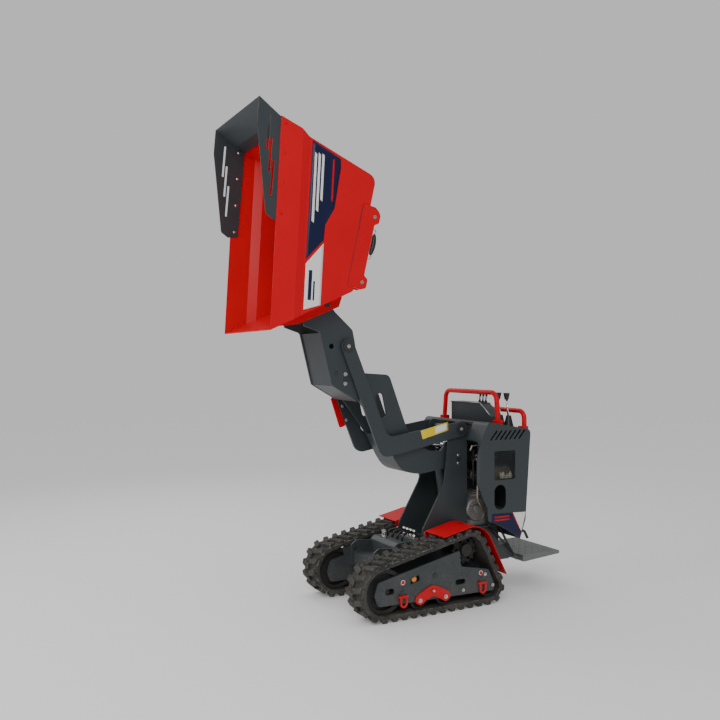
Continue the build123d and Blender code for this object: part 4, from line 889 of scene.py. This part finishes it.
# %% [markdown]
# ## Rods under the tail
# Thin dark rods run from the deck down to the step's brackets on both sides.
# Each is a straight tube; its lower end is a little nearer the middle than its upper end.

# %% Tail rods
tail_rods = [[(-0.580, y, 0.448), (-0.785, y * 0.94, 0.250)] for y in (0.170, -0.170)]
tail_rods += [[(-0.650, y, 0.448), (-0.790, y * 0.86, 0.240)] for y in (0.186, -0.186)]
tubes_piece("tail_rods", tail_rods, 0.008, DULL, "chassis", "zinc_steel")

# %% [markdown]
# ## Small pieces on the tracks
# An orange cap shows in each frame's oblong hole, a plug beside it, and a bent wire keeps each shackle's pin.
# They are a few centimetres large, but the eye looks for them, so they are shapes and not spots of colour.

# %% Track details
FRONT_IDLER, REAR_IDLER, CAP_SEAT = (0.3515, 0.180), (-0.4185, 0.112), 0.366
cap = [(0.019, 0.0), (0.019, 0.008), (0.015, 0.013), (0.006, 0.016), (0.0, 0.016)]
cap_spots = left_and_right([(FRONT_IDLER[0] - 0.208, FRONT_IDLER[1] + 0.050)], CAP_SEAT)
grids_piece("orange_caps", turned_on(*cap_spots, *lathe(cap)), True, ORANGE, "chassis", "black_plastic")
plug = [(0.015, 0.0), (0.015, 0.004), (0.012, 0.005), (0.0, 0.005)]
plug_spots = left_and_right([(-0.004, 0.236)], FRAME_FACE)
grids_piece("frame_plugs", turned_on(*plug_spots, *lathe(plug)), True, DULL, "chassis", "cast_iron")
KEEPER_GAP = 0.003
keeper_line = np.array([(0.030, 0.0), (0.020, 0.030), (-0.004, 0.034), (0.004, 0.062)])
keeper_feet = ((FRONT_IDLER[0] - 0.124, FRONT_IDLER[1] - 0.040),
               (REAR_IDLER[0] + 0.057, REAR_IDLER[1] + 0.033))
keepers = [bent(on_side(keeper_line + foot, sign * (FRAME_FACE + KEEPER_GAP)), 0.010)
           for foot in keeper_feet for sign in (1, -1)]
tubes_piece("pin_keepers", keepers, 0.0012, DULL, "chassis", "zinc_steel", 6)

# %% [markdown]
# ## Straps and welds under the skip
# A black rubber strap with zinc hooks hangs between the skip's ears, and weld beads run along its brackets;
# their dark red is painted shade, standing for the shadow line along the brackets' lap edge.
# A strap could be a sagging cloth; it is thick and short, so a tube whose radius swells as the root of a sine
# is close. A bead's radius ripples as the torch stepped along.

# %% Straps and welds
STRAP_FACE, BEAD_FACE, FLOOR_REAR = 0.335, 0.336, np.array([-0.797, -0.067])
run = np.linspace(0, 1, 25)
strap = FLOOR_REAR + np.stack([0.345 + 0.125 * run, -0.062 - 0.006 * np.sin(pi * run)], -1)
strap_radius = 0.007 + 0.008 * np.sqrt(np.sin(pi * run).clip(0))
hook_lines = FLOOR_REAR + np.array([[(0.345, -0.062), (0.330, -0.070), (0.316, -0.060), (0.316, -0.040)],
                                    [(0.470, -0.062), (0.485, -0.070), (0.499, -0.060), (0.499, -0.040)]])
bead_run = np.linspace(0.190, 0.686, 160)
bead = FLOOR_REAR + np.stack([bead_run, np.full_like(bead_run, 0.0475)], -1)
bead_radius = 0.0040 + 0.0006 * np.sin(1400 * bead_run)
straps = [on_side(tipped(strap), sign * STRAP_FACE) for sign in (1, -1)]
hooks = [bent(on_side(tipped(line), sign * STRAP_FACE), 0.006) for sign in (1, -1) for line in hook_lines]
beads = [on_side(tipped(bead), sign * BEAD_FACE) for sign in (1, -1)]
tubes_piece("rubber_straps", straps, strap_radius, BLACK, "skip", "black_plastic", 16)
tubes_piece("strap_hooks", hooks, 0.0035, ZINC, "skip", "zinc_steel", 8)
# The beads' dark red is painted shade along the lap edge.
tubes_piece("bracket_welds", beads, bead_radius, SHADE_SEAM, "skip", "red_paint", 8)

# %% [markdown]
# ## Tread on the step
# Raised ribs in turning pairs keep boots from slipping on the step.
# Bump in the material could show them, but the plate is seen edge-on, so each is a short thin tube
# half sunk in the plate; its lean changes sign like the fields of a chessboard.

# %% Step ribs
RIB, RIB_REACH, STEP_TOP = 0.0022, 0.0085, 0.230
rib_x, rib_y = np.meshgrid(np.arange(-1.128, -0.845, 0.028), np.arange(-0.205, 0.206, 0.0342), indexing="ij")
lean = 1.0 - 2.0 * (np.indices(rib_x.shape).sum(0) % 2)
rib_way = RIB_REACH * np.stack([np.ones_like(lean), lean, np.zeros_like(lean)], -1)
rib_middle = np.stack([rib_x, rib_y, np.full_like(lean, STEP_TOP)], -1)
rib_lines = np.stack([rib_middle - rib_way, rib_middle + rib_way], -2).reshape(-1, 2, 3)
tubes_piece("step_ribs", rib_lines, RIB, TREAD, "step", "grey_paint", 6)
print("ribs on the step", len(rib_lines))
